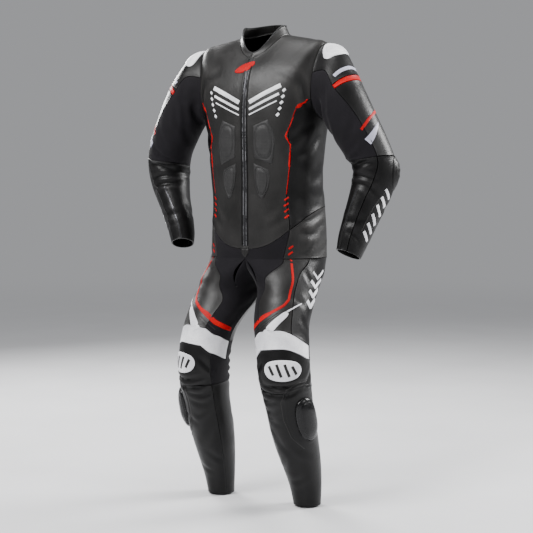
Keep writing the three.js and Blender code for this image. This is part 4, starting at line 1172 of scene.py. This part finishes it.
def leather_finish(name, colour, roughness, specular, grain, wear_and_crest_highlight, groove_shade):
    """Grained leather: pebbles, fine wrinkles, uneven tone, and paler worn folds along the seams, with painted shade in
    the seam grooves, crease troughs and grain crevices and a painted highlight on the crease crests.
    """
    material, tree, place = start_material(name)
    tone = node(tree, "ShaderNodeTexNoise", {"Vector": place, "Scale": 16, "Detail": 4})
    patch = node(tree, "ShaderNodeTexNoise", {"Vector": place, "Scale": 130, "Detail": 5, "Roughness": 0.65})
    pebbles = node(tree, "ShaderNodeTexVoronoi", {"Vector": place, "Scale": grain})
    uneven = ranged(tree, tone.outputs["Fac"], 0.35, 0.65, 0, 1)
    base = mixed(tree, uneven, tinted(colour, 0.78), tinted(colour, 1.2))
    seam = node(tree, "ShaderNodeAttribute", attribute_name=NEAR_SEAM).outputs["Fac"]
    rubbed = node(tree, "ShaderNodeMath", {0: seam, 1: patch.outputs["Fac"]}, operation="MULTIPLY").outputs[0]
    base = mixed(tree, ranged(tree, rubbed, 0.2, 0.6, 0, wear_and_crest_highlight), base, tinted(colour, 2.6))
    # Painted shade: darker in the seam's groove, where the panel's edge dips.
    base = mixed(tree, ranged(tree, seam, 0.8, 0.97, 0, groove_shade), base, tinted(colour, 0.2))
    trough, crest = (node(tree, "ShaderNodeAttribute", attribute_name=name).outputs["Fac"] for name in (TROUGH, CREST))
    # Painted shade: darker in the troughs of the creases.
    base = mixed(tree, ranged(tree, trough, 0, 1, 0, 0.9 * groove_shade), base, tinted(colour, 0.2))
    # Painted highlight: paler on the crests of the creases, by the same amount as the seams' wear.
    base = mixed(tree, ranged(tree, crest, 0, 1, 0, wear_and_crest_highlight), base, tinted(colour, 2.8))
    # Painted shade: darker in the crevices between the grain's pebbles.
    crevice_shade = ranged(tree, pebbles.outputs["Distance"], 0.3, 0.75, 0, 0.45)
    base = mixed(tree, crevice_shade, base, tinted(colour, 0.45))
    normal = bumped(tree, tone.outputs["Fac"], 0.006, 0.3)
    normal = bumped(tree, patch.outputs["Fac"], 0.0007, 0.4, normal)
    normal = bumped(tree, ranged(tree, pebbles.outputs["Distance"], 0, 0.8, 1, 0), 0.00022, 0.4, normal)
    gloss = ranged(tree, tone.outputs["Fac"], 0.3, 0.7, roughness - 0.06, roughness + 0.08)
    end_material(tree, {
        "Base Color": base, "Roughness": gloss, "Normal": normal, "Specular IOR Level": specular,
    })
    return material


def stretch_finish(name, colour):
    """Matt stretch cloth: fine crossed ribs with a faint nap, and a painted sheen that lightens the raised ribs."""
    material, tree, place = start_material(name)
    ribs = []
    for direction in ("Z", "DIAGONAL"):
        wave = node(
            tree, "ShaderNodeTexWave", {"Vector": place, "Scale": 210, "Distortion": 0.8},
            bands_direction=direction,
        )
        ribs.append(wave.outputs["Fac"])
    weave_and_sheen = node(tree, "ShaderNodeMath", {0: ribs[0], 1: ribs[1]}, operation="MULTIPLY").outputs[0]
    tone = node(tree, "ShaderNodeTexNoise", {"Vector": place, "Scale": 22, "Detail": 3})
    base = mixed(tree, ranged(tree, tone.outputs["Fac"], 0.3, 0.7, 0, 1), tinted(colour, 0.8), tinted(colour, 1.3))
    # Painted highlight: the raised ribs of the weave are made paler, as sheen.
    base = mixed(tree, ranged(tree, weave_and_sheen, 0, 1, 0, 0.5), base, tinted(colour, 2.4))
    end_material(tree, {
        "Base Color": base, "Roughness": 0.82, "Normal": bumped(tree, weave_and_sheen, 0.0004, 0.6),
        "Specular IOR Level": 0.18, "Sheen Weight": 0.05, "Sheen Roughness": 0.4,
    })
    return material


def pad_finish(name, colour):
    """Punched leather over foam: small holes in even rows, painted near black as the shade inside them."""
    material, tree, place = start_material(name)
    axes = node(tree, "ShaderNodeSeparateXYZ", {"Vector": place})
    flat = node(tree, "ShaderNodeCombineXYZ", {"X": axes.outputs["X"], "Y": axes.outputs["Z"]})
    holes = node(
        tree, "ShaderNodeTexVoronoi", {"Vector": flat.outputs["Vector"], "Scale": 240, "Randomness": 0},
        voronoi_dimensions="2D",
    )
    grain = node(tree, "ShaderNodeTexVoronoi", {"Vector": place, "Scale": GRAIN["pad"]})
    tone = node(tree, "ShaderNodeTexNoise", {"Vector": place, "Scale": 40, "Detail": 4})
    inside = ranged(tree, holes.outputs["Distance"], 0.16, 0.24, 1, 0)
    base = mixed(tree, ranged(tree, tone.outputs["Fac"], 0.3, 0.7, 0, 1), tinted(colour, 0.8), tinted(colour, 1.2))
    # Painted shade: the holes are darkened as the shade that falls inside them.
    base = mixed(tree, inside, base, tinted(colour, 0.1))
    normal = bumped(tree, ranged(tree, grain.outputs["Distance"], 0, 0.8, 1, 0), 0.0002, 0.35)
    normal = bumped(tree, inside, -0.0006, 0.8, normal)
    end_material(tree, {"Base Color": base, "Roughness": 0.55, "Normal": normal, "Specular IOR Level": 0.3})
    return material


def slider_finish(name, colour):
    """Gloss moulded plastic with faint scuffs."""
    material, tree, place = start_material(name)
    scuff = node(tree, "ShaderNodeTexNoise", {"Vector": place, "Scale": 90, "Detail": 6, "Roughness": 0.7})
    fine = node(tree, "ShaderNodeTexNoise", {"Vector": place, "Scale": 700, "Detail": 2})
    gloss = ranged(tree, scuff.outputs["Fac"], 0.45, 0.7, 0.24, 0.4)
    base = mixed(tree, ranged(tree, scuff.outputs["Fac"], 0.4, 0.75, 0, 1), colour, tinted(colour, 1.9))
    end_material(tree, {
        "Base Color": base, "Roughness": gloss, "Normal": bumped(tree, fine.outputs["Fac"], 0.00005, 0.3),
        "Specular IOR Level": 0.22, "Coat Weight": 0.12, "Coat Roughness": 0.14,
    })
    return material


def thread_finish(name, colour):
    """Twisted thread or woven tape, with painted light and shade along the twist."""
    material, tree, place = start_material(name)
    twist = node(
        tree, "ShaderNodeTexWave", {"Vector": place, "Scale": 420, "Distortion": 1.5},
        bands_direction="DIAGONAL",
    ).outputs["Fac"]
    # Painted light and shade: the twist's ridges are made paler and its grooves darker.
    base = mixed(tree, twist, tinted(colour, 0.7), tinted(colour, 1.3))
    end_material(tree, {"Base Color": base, "Roughness": 0.75, "Normal": bumped(tree, twist, 0.0002, 0.5)})
    return material


def teeth_finish(name, colour):
    """Dark plated zip teeth, rubbed brighter in places."""
    material, tree, place = start_material(name)
    rub = node(tree, "ShaderNodeTexNoise", {"Vector": place, "Scale": 500, "Detail": 3})
    base = mixed(tree, ranged(tree, rub.outputs["Fac"], 0.35, 0.7, 0, 1), colour, tinted(colour, 2.2))
    end_material(tree, {"Base Color": base, "Metallic": 0.9, "Roughness": 0.34})
    return material


def floor_finish(name, colour, backdrop, strength):
    """A pale matt floor that fades into the backdrop's own light far from the suit."""
    material, tree, place = start_material(name)
    tone = node(tree, "ShaderNodeTexNoise", {"Vector": place, "Scale": 2.2, "Detail": 5})
    base = mixed(tree, ranged(tree, tone.outputs["Fac"], 0.3, 0.7, 0, 1), tinted(colour, 0.96), tinted(colour, 1.03))
    near = node(tree, "ShaderNodeBsdfPrincipled", {"Base Color": base, "Roughness": 0.7, "Specular IOR Level": 0.05})
    far = node(tree, "ShaderNodeEmission", {"Color": backdrop, "Strength": strength})
    away = node(tree, "ShaderNodeVectorMath", {0: place}, operation="LENGTH").outputs["Value"]
    share = node(
        tree, "ShaderNodeMapRange", {"Value": away, "From Min": FLOOR_FADE[0], "From Max": FLOOR_FADE[1]},
        interpolation_type="SMOOTHSTEP",
    )
    both = node(tree, "ShaderNodeMixShader", {0: share.outputs["Result"], 1: near.outputs["BSDF"]})
    tree.links.new(far.outputs["Emission"], both.inputs[2])
    node(tree, "ShaderNodeOutputMaterial", {"Surface": both.outputs["Shader"]})
    return material


def finish_of(kind):
    """A finish's material, made once."""
    made = bpy.data.materials.get(f"suit_{kind}")
    if made:
        return made
    colours = bpy.context.scene.race_suit_colours
    name = f"suit_{kind}"
    plain = {key: tuple(getattr(colours, key)) for key in COLOURS}
    if kind == "leather":
        return leather_finish(name, plain["leather"], 0.42, 0.3, GRAIN["leather"], 0.9, 0.9)
    # The same leather with painted shade: a darker base colour and less specular, for the panels that fall in less
    # light.
    if kind == "shaded_leather":
        return leather_finish(name, plain["shaded_leather"], 0.38, 0.2, GRAIN["leather"], 0.9, 0.9)
    if kind == "white":
        return leather_finish(name, plain["white"], 0.42, 0.4, GRAIN["white"], 0.0, 0.55)
    if kind == "red":
        return leather_finish(name, plain["red"], 0.5, 0.12, GRAIN["red"], 0.0, 0.6)
    if kind == "lavender":
        return leather_finish(name, plain["lavender"], 0.42, 0.4, GRAIN["white"], 0.0, 0.0)
    if kind == "stretch":
        return stretch_finish(name, plain["stretch"])
    if kind == "pad":
        return pad_finish(name, plain["pad"])
    if kind == "slider":
        return slider_finish(name, plain["slider"])
    if kind == "teeth":
        return teeth_finish(name, plain["teeth"])
    return thread_finish(name, plain[kind])


COLOURS = {
    "leather": ("Leather", (0.0125, 0.0118, 0.0113)),
    # The leather again, darkened as painted shade for the panels away from the light.
    "shaded_leather": ("Leather with painted shade", (0.0045, 0.0043, 0.0044)),
    "white": ("White leather", (0.82, 0.82, 0.86)),
    "red": ("Red leather", (0.47, 0.0, 0.002)),
    "lavender": ("Grey stripe", (0.42, 0.42, 0.52)),
    "stretch": ("Stretch cloth", (0.0045, 0.0038, 0.0052)),
    "pad": ("Abdomen pads", (0.021, 0.0205, 0.0205)),
    "slider": ("Knee sliders", (0.0025, 0.0025, 0.0028)),
    "zip": ("Zip tape", (0.003, 0.003, 0.0035)),
    # A pale grey for the painted highlight along both sides of the zip.
    "zip_edge_highlight": ("Zip edge highlights", (0.17, 0.17, 0.18)),
    "teeth": ("Zip teeth", (0.05, 0.05, 0.055)),
    "thread": ("Dark thread", (0.05, 0.049, 0.049)),
    "white_thread": ("White thread", (0.7, 0.7, 0.74)),
    "binding": ("Collar binding", (0.005, 0.005, 0.0055)),
    "floor": ("Floor", (0.62, 0.62, 0.63)),
}


def length(name, description, default, low=0.0, high=1.0):
    return FloatProperty(
        name=name, description=description, default=default, min=low, max=high, subtype="DISTANCE", unit="LENGTH"
    )


def turn(name, description, default):
    return FloatProperty(
        name=name, description=description, default=math.radians(default), subtype="ANGLE", unit="ROTATION"
    )


class RaceSuitSizes(bpy.types.PropertyGroup):
    """Sizes that a maker might change."""

    wall: length("Panel thickness", "Thickness of the leather and stretch panels", 0.0013, 0.0005, 0.003)
    crease_scale: FloatProperty(
        name="Crease depth", description="Share of each crease's listed depth", default=1.6, min=0, max=3,
        subtype="FACTOR",
    )
    stitch_inset: length("Stitch inset", "From a panel's edge to its stitching", 0.0034, 0.001, 0.02)
    stitch_pitch: length("Stitch pitch", "From one stitch to the next", 0.0044, 0.002, 0.02)
    stitch_length: length("Stitch length", "Length of a stitch", 0.0031, 0.001, 0.02)
    thread_width: length("Thread width", "Width of the thread", 0.0009, 0.0002, 0.004)
    trim_height: length("Trim height", "How far piping and stripes stand up", 0.0009, 0.0002, 0.004)
    tooth_pitch: length("Tooth pitch", "From one zip tooth to the next on a side", 0.0026, 0.001, 0.01)
    camera_turn: turn("Camera azimuth", "Angle from the front to the camera, towards the wearer's left", 30)
    camera_rise: turn("Camera elevation", "Angle of the camera above the horizon", 4)
    camera_distance: length("Camera distance", "From the camera to the point it looks at", 3.7, 1, 20)
    camera_target: length("Camera target", "Height of the point that the camera looks at", -0.631, -2, 2)
    camera_lens: FloatProperty(
        name="Lens", description="Focal length on a 36 mm sensor", default=83.5, min=10, max=300, unit="CAMERA"
    )


def colour_property(label, colour):
    return FloatVectorProperty(
        name=label, description=f"Base colour: {label.lower()}", default=colour, size=3, min=0, max=1,
        subtype="COLOR",
    )


class RaceSuitColours(bpy.types.PropertyGroup):
    """Base colours of the finishes."""

    __annotations__ = {key: colour_property(*value) for key, value in COLOURS.items()}


class RACESUIT_OT_stage(bpy.types.Operator):
    """Make the pale floor, the soft studio lights and the camera"""

    bl_idname = "race_suit.stage"
    bl_label = "Stage"

    # Area lights: azimuth and elevation in degrees, distance and size in metres, power in watts.
    LIGHTS = {
        "key": (-18, 40, 3.2, 1.1, 130),
        "fill": (84, 20, 3.4, 1.2, 40),
        "rim_left": (132, 26, 3.0, 1.2, 150),
        "rim_right": (-118, 26, 3.0, 1.2, 130),
        "top": (0, 86, 2.6, 1.4, 50),
    }
    WORLD_COLOUR = (0.86, 0.87, 0.9, 1)
    WORLD_STRENGTH = 0.4
    FLOOR_SIZE = 400.0
    FLOOR_GAP = 0.004

    def place(self, azimuth, elevation, distance, centre):
        away = Vector((
            math.sin(azimuth) * math.cos(elevation), -math.cos(azimuth) * math.cos(elevation), math.sin(elevation)
        ))
        return centre + away * distance, (-away).to_track_quat("-Z", "Y").to_euler()

    def execute(self, context):
        sizes = context.scene.race_suit_sizes
        centre = (CAD_BOX[0] + CAD_BOX[1]) / 2
        for name, (azimuth, elevation, distance, size, power) in self.LIGHTS.items():
            light = bpy.data.lights.new(name, "AREA")
            light.size = size
            light.energy = power
            lamp = bpy.data.objects.new(name, light)
            lamp.location, lamp.rotation_euler = self.place(
                math.radians(azimuth), math.radians(elevation), distance, centre
            )
            context.collection.objects.link(lamp)
        world = bpy.data.worlds.new("studio")
        world.use_nodes = True
        background = world.node_tree.nodes["Background"]
        background.inputs["Color"].default_value = self.WORLD_COLOUR
        background.inputs["Strength"].default_value = self.WORLD_STRENGTH
        context.scene.world = world
        half = self.FLOOR_SIZE / 2
        z = CAD_BOX[0].z - self.FLOOR_GAP
        mesh = bpy.data.meshes.new("floor")
        mesh.from_pydata([(-half, -half, z), (half, -half, z), (half, half, z), (-half, half, z)], [], [(0, 1, 2, 3)])
        colour = tuple(context.scene.race_suit_colours.floor)
        mesh.materials.append(floor_finish("studio_floor", colour, self.WORLD_COLOUR, self.WORLD_STRENGTH))
        floor = bpy.data.objects.new("floor", mesh)
        context.collection.objects.link(floor)
        camera = bpy.data.objects.new("camera", bpy.data.cameras.new("camera"))
        camera.data.lens = sizes.camera_lens
        camera.location, camera.rotation_euler = self.place(
            sizes.camera_turn, sizes.camera_rise, sizes.camera_distance, Vector((0, 0, sizes.camera_target))
        )
        context.collection.objects.link(camera)
        context.scene.camera = camera
        return {"FINISHED"}


def cut_panels(pieces):
    for piece in pieces:
        if piece in WHOLE_PIECES:
            cut_panel(piece, "left")
        else:
            for side in SIDES:
                cut_panel(piece, side)


class RACESUIT_OT_torso(bpy.types.Operator):
    """Cut the collar, fronts, sides, backs, hips, seat and stretch panels of the body"""

    bl_idname = "race_suit.torso"
    bl_label = "Body panels"

    def execute(self, _context):
        cut_panels(TORSO_PIECES)
        return {"FINISHED"}


class RACESUIT_OT_sleeves(bpy.types.Operator):
    """Cut the panels of both sleeves"""

    bl_idname = "race_suit.sleeves"
    bl_label = "Sleeve panels"

    def execute(self, _context):
        cut_panels(SLEEVE_PIECES)
        return {"FINISHED"}


class RACESUIT_OT_legs(bpy.types.Operator):
    """Cut the panels of both legs below the seat"""

    bl_idname = "race_suit.legs"
    bl_label = "Leg panels"

    def execute(self, _context):
        cut_panels(LEG_PIECES)
        return {"FINISHED"}


class RACESUIT_OT_armour(bpy.types.Operator):
    """Lay on the shoulder and elbow cups, knee patches, slider bases and knee sliders"""

    bl_idname = "race_suit.armour"
    bl_label = "Cups and sliders"

    FILL = {"elbow_cup": 0.8, "shoulder_cup": 0.9}

    def execute(self, _context):
        for name, form in LAID_ON_LIMBS.items():
            for side in SIDES:
                spot = limb_spot(form, side)
                piece = laid_piece(f"{name}_{side}", spot, form, 1 if side == "left" else -1)
        return {"FINISHED"}


class RACESUIT_OT_front_pads(bpy.types.Operator):
    """Lay on the four abdomen pads, the throat patch and the zip's end tab"""

    bl_idname = "race_suit.front_pads"
    bl_label = "Abdomen pads and front patches"

    PAD = dict(finish="pad", edge=1.5, rise=3.5, crown=4, above=0, relief="pad")
    PATCH = dict(finish="red", edge=1.5, rise=0.6, crown=4, above=0, relief="plain")
    TAB = dict(finish="leather", edge=1.5, rise=0.6, crown=4, above=0, relief="plain")
    FILL = 0.7

    def execute(self, _context):
        for place, rungs in PAD_RUNGS.items():
            for side, mirror in (("left", 1), ("right", -1)):
                pad = laid_piece(f"abdomen_pad_{place}_{side}", rung_spot(rungs, mirror), self.PAD, -mirror)
        laid_piece("throat_patch", rung_spot(THROAT_PATCH_RUNGS, 1), self.PATCH, 1)
        laid_piece("zip_end_tab", rung_spot(ZIP_TAB_RUNGS, 1), self.TAB, 1)
        return {"FINISHED"}


class RACESUIT_OT_piping(bpy.types.Operator):
    """Sew on the red piping of the body and thighs"""

    bl_idname = "race_suit.piping"
    bl_label = "Red piping"

    CHEST_BAR = ((178, -146), (166, -156), (152, -169))
    BODY_LINE = ((152, -169), (139, -206), (123, -248), (134, -272), (131, -313), (127, -360), (120, -413))
    BODY_DASHES = ((120, -422), (119, -439), (120, -456), (121, -473), (131, -562), (130, -579))
    DASH = (5, 9, 5)
    THIGH_DASH = ((45, 0.02), (44, 0.16))
    THIGH_LINE = ((45, 0.28), (51, 1.48), (52, 2.2), (60, 2.5), (84, 2.85))
    THIGH_HOOK = ((84, 2.85), (101, 3.08), (126, 3.56), (150, 3.86), (171, 4.1))
    WIDTHS = {"bar": (12, 9), "body": (4.5, 5), "thigh": (6.5, 6.5, 8.5), "hook": (9, 15, 14, 14, 12)}

    def execute(self, context):
        height = context.scene.race_suit_sizes.trim_height * 1000
        lean, drop, width = self.DASH
        for side in SIDES:
            strips = [
                (front_path(side, *self.CHEST_BAR), self.WIDTHS["bar"]),
                (front_path(side, *self.BODY_LINE), self.WIDTHS["body"]),
                (limb_path("leg", side, *self.THIGH_DASH), (width, width)),
                (limb_path("leg", side, *self.THIGH_LINE), self.WIDTHS["thigh"]),
                (limb_path("leg", side, *self.THIGH_HOOK), self.WIDTHS["hook"]),
            ]
            for x, z in self.BODY_DASHES:
                strips.append((front_path(side, (x - lean, z - drop), (x + lean, z)), (width, width)))
            shapes = [ribbon(path, along_widths(path, *widths), height) for path, widths in strips]
            trim_piece(f"red_piping_{side}", shapes, "red")
        return {"FINISHED"}


class RACESUIT_OT_stripes(bpy.types.Operator):
    """Sew on the red, white and grey stripes of the sleeves and the white tails above the knees"""

    bl_idname = "race_suit.stripes"
    bl_label = "Sleeve and knee stripes"

    # Each stripe: finish, limb, places as angle and section, and widths along it.
    STRIPES = (
        ("lavender", "sleeve", ((-78, 1.5), (-40, 1.88), (-9, 2.02), (28, 1.92), (60, 1.76)), (10, 11, 11, 11, 10)),
        ("red", "sleeve", ((-48, 3.72), (-28, 3.86), (0, 4.03), (30, 4.25), (59, 4.55)), (7, 8, 8, 8, 8)),
        ("lavender", "sleeve", ((4, 4.46), (24, 4.7), (40, 4.93), (58, 5.18)), (5, 12, 18, 23)),
        ("white", "leg", ((93, 4.2), (81, 3.78), (68, 3.4), (55, 3.08), (51, 2.98)), (27, 24, 20, 16, 9)),
        ("white", "leg", ((52, 2.92), (38, 2.72), (24, 2.55)), (4.5, 4, 3)),
    )
    SEAM_LINES = (
        ("sleeve", ((18, 8.0), (34, 9.2), (40, 10.4))), ("leg", ((70, 2.92), (88, 3.24), (112, 3.66), (134, 4.1))),
        ("leg", ((68, 3.05), (88, 3.4), (110, 3.84), (126, 4.2))),
        ("leg", ((0, 7.26), (30, 7.26), (58, 7.6), (75, 8.3), (77, 9.2), (67, 10.1), (40, 10.76))),
    )

    def execute(self, context):
        height = context.scene.race_suit_sizes.trim_height * 1000
        for side in SIDES:
            shapes = {}
            for finish, limb, places, widths in self.STRIPES:
                path = limb_path(limb, side, *places)
                shapes.setdefault(finish, []).append(ribbon(path, along_widths(path, *widths), height))
            for finish, strips in shapes.items():
                piece = trim_piece(f"{finish}_stripes_{side}", strips, finish)
            seams = [ribbon(limb_path(limb, side, *places), 2.4, height) for limb, places in self.SEAM_LINES]
            trim_piece(f"raised_seams_{side}", seams, "leather")
        return {"FINISHED"}


class RACESUIT_OT_designs(bpy.types.Operator):
    """Sew on the plain white bars and chevrons of the chest, sleeves and hips, and the leather bars on the knee patches
    """

    bl_idname = "race_suit.designs"
    bl_label = "White bars and chevrons"

    CHEST_BARS = (
        (((112, -104), (60, -128), (17, -150)), 12),
        (((108, -128), (58, -151), (17, -170)), 7),
        (((102, -148), (56, -169), (17, -186)), 3.5),
    )
    CHEST_DOTS = ((122, -118), (119, -136), (115, -153), (110, -170), (104, -187))
    DOT = (3.5, 7)
    FOREARM_DASHES = ((6, 8.1), (8, 8.55), (10, 9.0), (12, 9.45), (14, 9.9), (16, 10.35))
    FOREARM_DASH = (16, 0.36, 9)
    HIP_CHEVRONS = ((0.8, 8), (1.3, 10), (1.85, 12), (2.45, 14))
    HIP = {"angle": -3, "spread": 15, "drop": 0.42}
    KNEE_BARS = ((36, 6.2, 6.7), (52, 6.08, 6.8), (69, 6.08, 6.8), (86, 6.2, 6.7))
    KNEE_BAR = {"lean": 9, "width": 8, "height": 0.6, "foot": 2.0}

    def execute(self, context):
        height = context.scene.race_suit_sizes.trim_height * 1000
        dot, dot_width = self.DOT
        spread, drop, dash_width = self.FOREARM_DASH
        for side in SIDES:
            chest = [ribbon(front_path(side, *places), width, height) for places, width in self.CHEST_BARS]
            for x, z in self.CHEST_DOTS:
                chest.append(ribbon(front_path(side, (x + dot, z + dot), (x - dot, z - dot)), dot_width, height))
            trim_piece(f"chest_bars_{side}", chest, "white")
            dashes = []
            for angle, w in self.FOREARM_DASHES:
                path = limb_path("sleeve", side, (angle + spread, w), (angle - spread, w + drop))
                dashes.append(ribbon(path, dash_width, height))
            trim_piece(f"forearm_dashes_{side}", dashes, "white")
            chevrons = []
            for w, width in self.HIP_CHEVRONS:
                middle = (self.HIP["angle"], w + self.HIP["drop"])
                ends = [(self.HIP["angle"] + step * self.HIP["spread"], w) for step in (-1, 1)]
                chevrons.append(ribbon(limb_path("leg", side, ends[0], middle, ends[1]), width, height))
            trim_piece(f"hip_chevrons_{side}", chevrons, "white")
            bars = []
            for angle, top, bottom in self.KNEE_BARS:
                path = limb_path("leg", side, (angle - self.KNEE_BAR["lean"] / 2, bottom),
                                 (angle + self.KNEE_BAR["lean"] / 2, top))
                bars.append(ribbon(path, self.KNEE_BAR["width"], self.KNEE_BAR["height"], self.KNEE_BAR["foot"]))
            trim_piece(f"knee_patch_bars_{side}", bars, "leather")
        return {"FINISHED"}


class RACESUIT_OT_zips(bpy.types.Operator):
    """Set the zip's teeth, its leather welts, the cuff zips and the collar's binding"""

    bl_idname = "race_suit.zips"
    bl_label = "Zips and collar binding"

    ZIP_LINE = ((0, -36), (0, -120), (0, -240), (0, -360), (0, -480), (0, -562))
    TOOTH = {"offset": 1.15, "length": 0.0012, "width": 0.0026, "height": 0.0016, "lift": 0.5}
    WELT = {"offset": 8.8, "width": 4.5, "height": 1.7}
    # Painted highlight: pale raised strips along both sides of the zip.
    ZIP_EDGE_HIGHLIGHT = {"offset": 4.6, "width": 1.8, "height": 0.8}
    CUFF_ZIP = ((101, 8.6), (106, 9.6), (112, 10.8), (116, 11.85))
    CUFF_WELT = {"turn": 4, "width": 2.6}
    BINDING_RADIUS = 1.9
    BINDING_STEPS = 150
    BINDING_SIDES = 8

    def shifted(self, places, offset):
        return [(x + offset, z) for x, z in places]

    def binding(self):
        """The rolled edge round the collar's top, as a closed ring."""
        angle = np.linspace(0, 360, self.BINDING_STEPS, endpoint=False)
        path = section_point(COLLAR_TOP, angle)
        ahead = np.roll(path, -1, axis=0) - np.roll(path, 1, axis=0)
        ahead /= np.linalg.norm(ahead, axis=1)[:, None]
        up = np.array([0, 0, 1.0])
        side = np.cross(ahead, up)
        side /= np.linalg.norm(side, axis=1)[:, None]
        above = np.cross(side, ahead)
        rings = []
        for turned in np.linspace(0, 2 * math.pi, self.BINDING_SIDES, endpoint=False):
            rings.append(path + self.BINDING_RADIUS * (math.cos(turned) * side + math.sin(turned) * above))
        lattice = np.stack(rings, axis=1)
        faces = []
        for i in range(self.BINDING_STEPS):
            k = (i + 1) % self.BINDING_STEPS
            for j in range(self.BINDING_SIDES):
                m = (j + 1) % self.BINDING_SIDES
                count = self.BINDING_SIDES
                faces.append([i * count + j, k * count + j, k * count + m, i * count + m])
        return lattice.reshape(-1, 3), faces

    def execute(self, context):
        sizes = context.scene.race_suit_sizes
        tooth = self.TOOTH
        tree = row_tree("zip_teeth", "tooth")
        teeth = [
            open_path(front_path("left", *self.shifted(self.ZIP_LINE, step * tooth["offset"])), tooth["lift"])
            for step in (-1, 1)
        ]
        rows_along(
            "zip_teeth", tree, teeth,
            (sizes.tooth_pitch, tooth["length"], tooth["width"], tooth["height"]), finish_of("teeth"),
        )
        welts = [
            ribbon(front_path("left", *self.shifted(self.ZIP_LINE, step * self.WELT["offset"])),
                   self.WELT["width"], self.WELT["height"])
            for step in (-1, 1)
        ]
        trim_piece("zip_welts", welts, "shaded_leather")
        edges = [
            ribbon(front_path("left", *self.shifted(self.ZIP_LINE, step * self.ZIP_EDGE_HIGHLIGHT["offset"])),
                   self.ZIP_EDGE_HIGHLIGHT["width"], self.ZIP_EDGE_HIGHLIGHT["height"])
            for step in (-1, 1)
        ]
        trim_piece("zip_edge_highlights", edges, "zip_edge_highlight")
        for side in SIDES:
            zip_line = limb_path("sleeve", side, *self.CUFF_ZIP)
            rows_along(
                f"cuff_zip_teeth_{side}", tree, [open_path(zip_line, tooth["lift"])],
                (sizes.tooth_pitch, tooth["length"], tooth["width"] * 1.4, tooth["height"]),
                finish_of("teeth"),
            )
            strips = [
                ribbon(limb_path("sleeve", side, *[(a + step * self.CUFF_WELT["turn"], w) for a, w in self.CUFF_ZIP]),
                       self.CUFF_WELT["width"], sizes.trim_height * 1000)
                for step in (-1, 1)
            ]
            trim_piece(f"cuff_zip_welts_{side}", strips, "leather")
        binding = outward(make_mesh("collar_binding", *self.binding()))
        finish_piece(binding, "binding")
        return {"FINISHED"}


class RACESUIT_OT_stitching(bpy.types.Operator):
    """Run a row of stitches along every leather panel's edge"""

    bl_idname = "race_suit.stitching"
    bl_label = "Stitching"

    HEIGHT = 0.0007

    def execute(self, context):
        sizes = context.scene.race_suit_sizes
        tree = row_tree("stitch_row", "thread")
        for (region, is_white), paths in suit["seams"].items():
            kind = "white_thread" if is_white else "thread"
            piece = rows_along(
                f"{region}_{kind}", tree, paths,
                (sizes.stitch_pitch, sizes.stitch_length, sizes.thread_width, self.HEIGHT), finish_of(kind),
            )
        return {"FINISHED"}


OPERATORS = (
    RACESUIT_OT_stage,
    RACESUIT_OT_torso,
    RACESUIT_OT_sleeves,
    RACESUIT_OT_legs,
    RACESUIT_OT_armour,
    RACESUIT_OT_front_pads,
    RACESUIT_OT_piping,
    RACESUIT_OT_stripes,
    RACESUIT_OT_designs,
    RACESUIT_OT_zips,
    RACESUIT_OT_stitching,
)


class RACESUIT_PT_panel(bpy.types.Panel):
    """Steps and settings of the race suit"""

    bl_label = "Race Suit"
    bl_space_type = "VIEW_3D"
    bl_region_type = "UI"
    bl_category = "Race Suit"

    def draw(self, context):
        for settings in (context.scene.race_suit_sizes, context.scene.race_suit_colours):
            for key in settings.bl_rna.properties.keys():
                if key not in ("name", "rna_type"):
                    self.layout.prop(settings, key)
        for operator in OPERATORS:
            self.layout.operator(operator.bl_idname)


CLASSES = (RaceSuitSizes, RaceSuitColours, *OPERATORS, RACESUIT_PT_panel)


def register():
    for made in CLASSES:
        bpy.utils.register_class(made)
    bpy.types.Scene.race_suit_sizes = PointerProperty(type=RaceSuitSizes)
    bpy.types.Scene.race_suit_colours = PointerProperty(type=RaceSuitColours)


def unregister():
    del bpy.types.Scene.race_suit_sizes
    del bpy.types.Scene.race_suit_colours
    for made in reversed(CLASSES):
        bpy.utils.unregister_class(made)


def main():
    register()
    for operator in OPERATORS:
        group, name = operator.bl_idname.split(".")
        getattr(getattr(bpy.ops, group), name)()


if __name__ == "__main__":
    main()
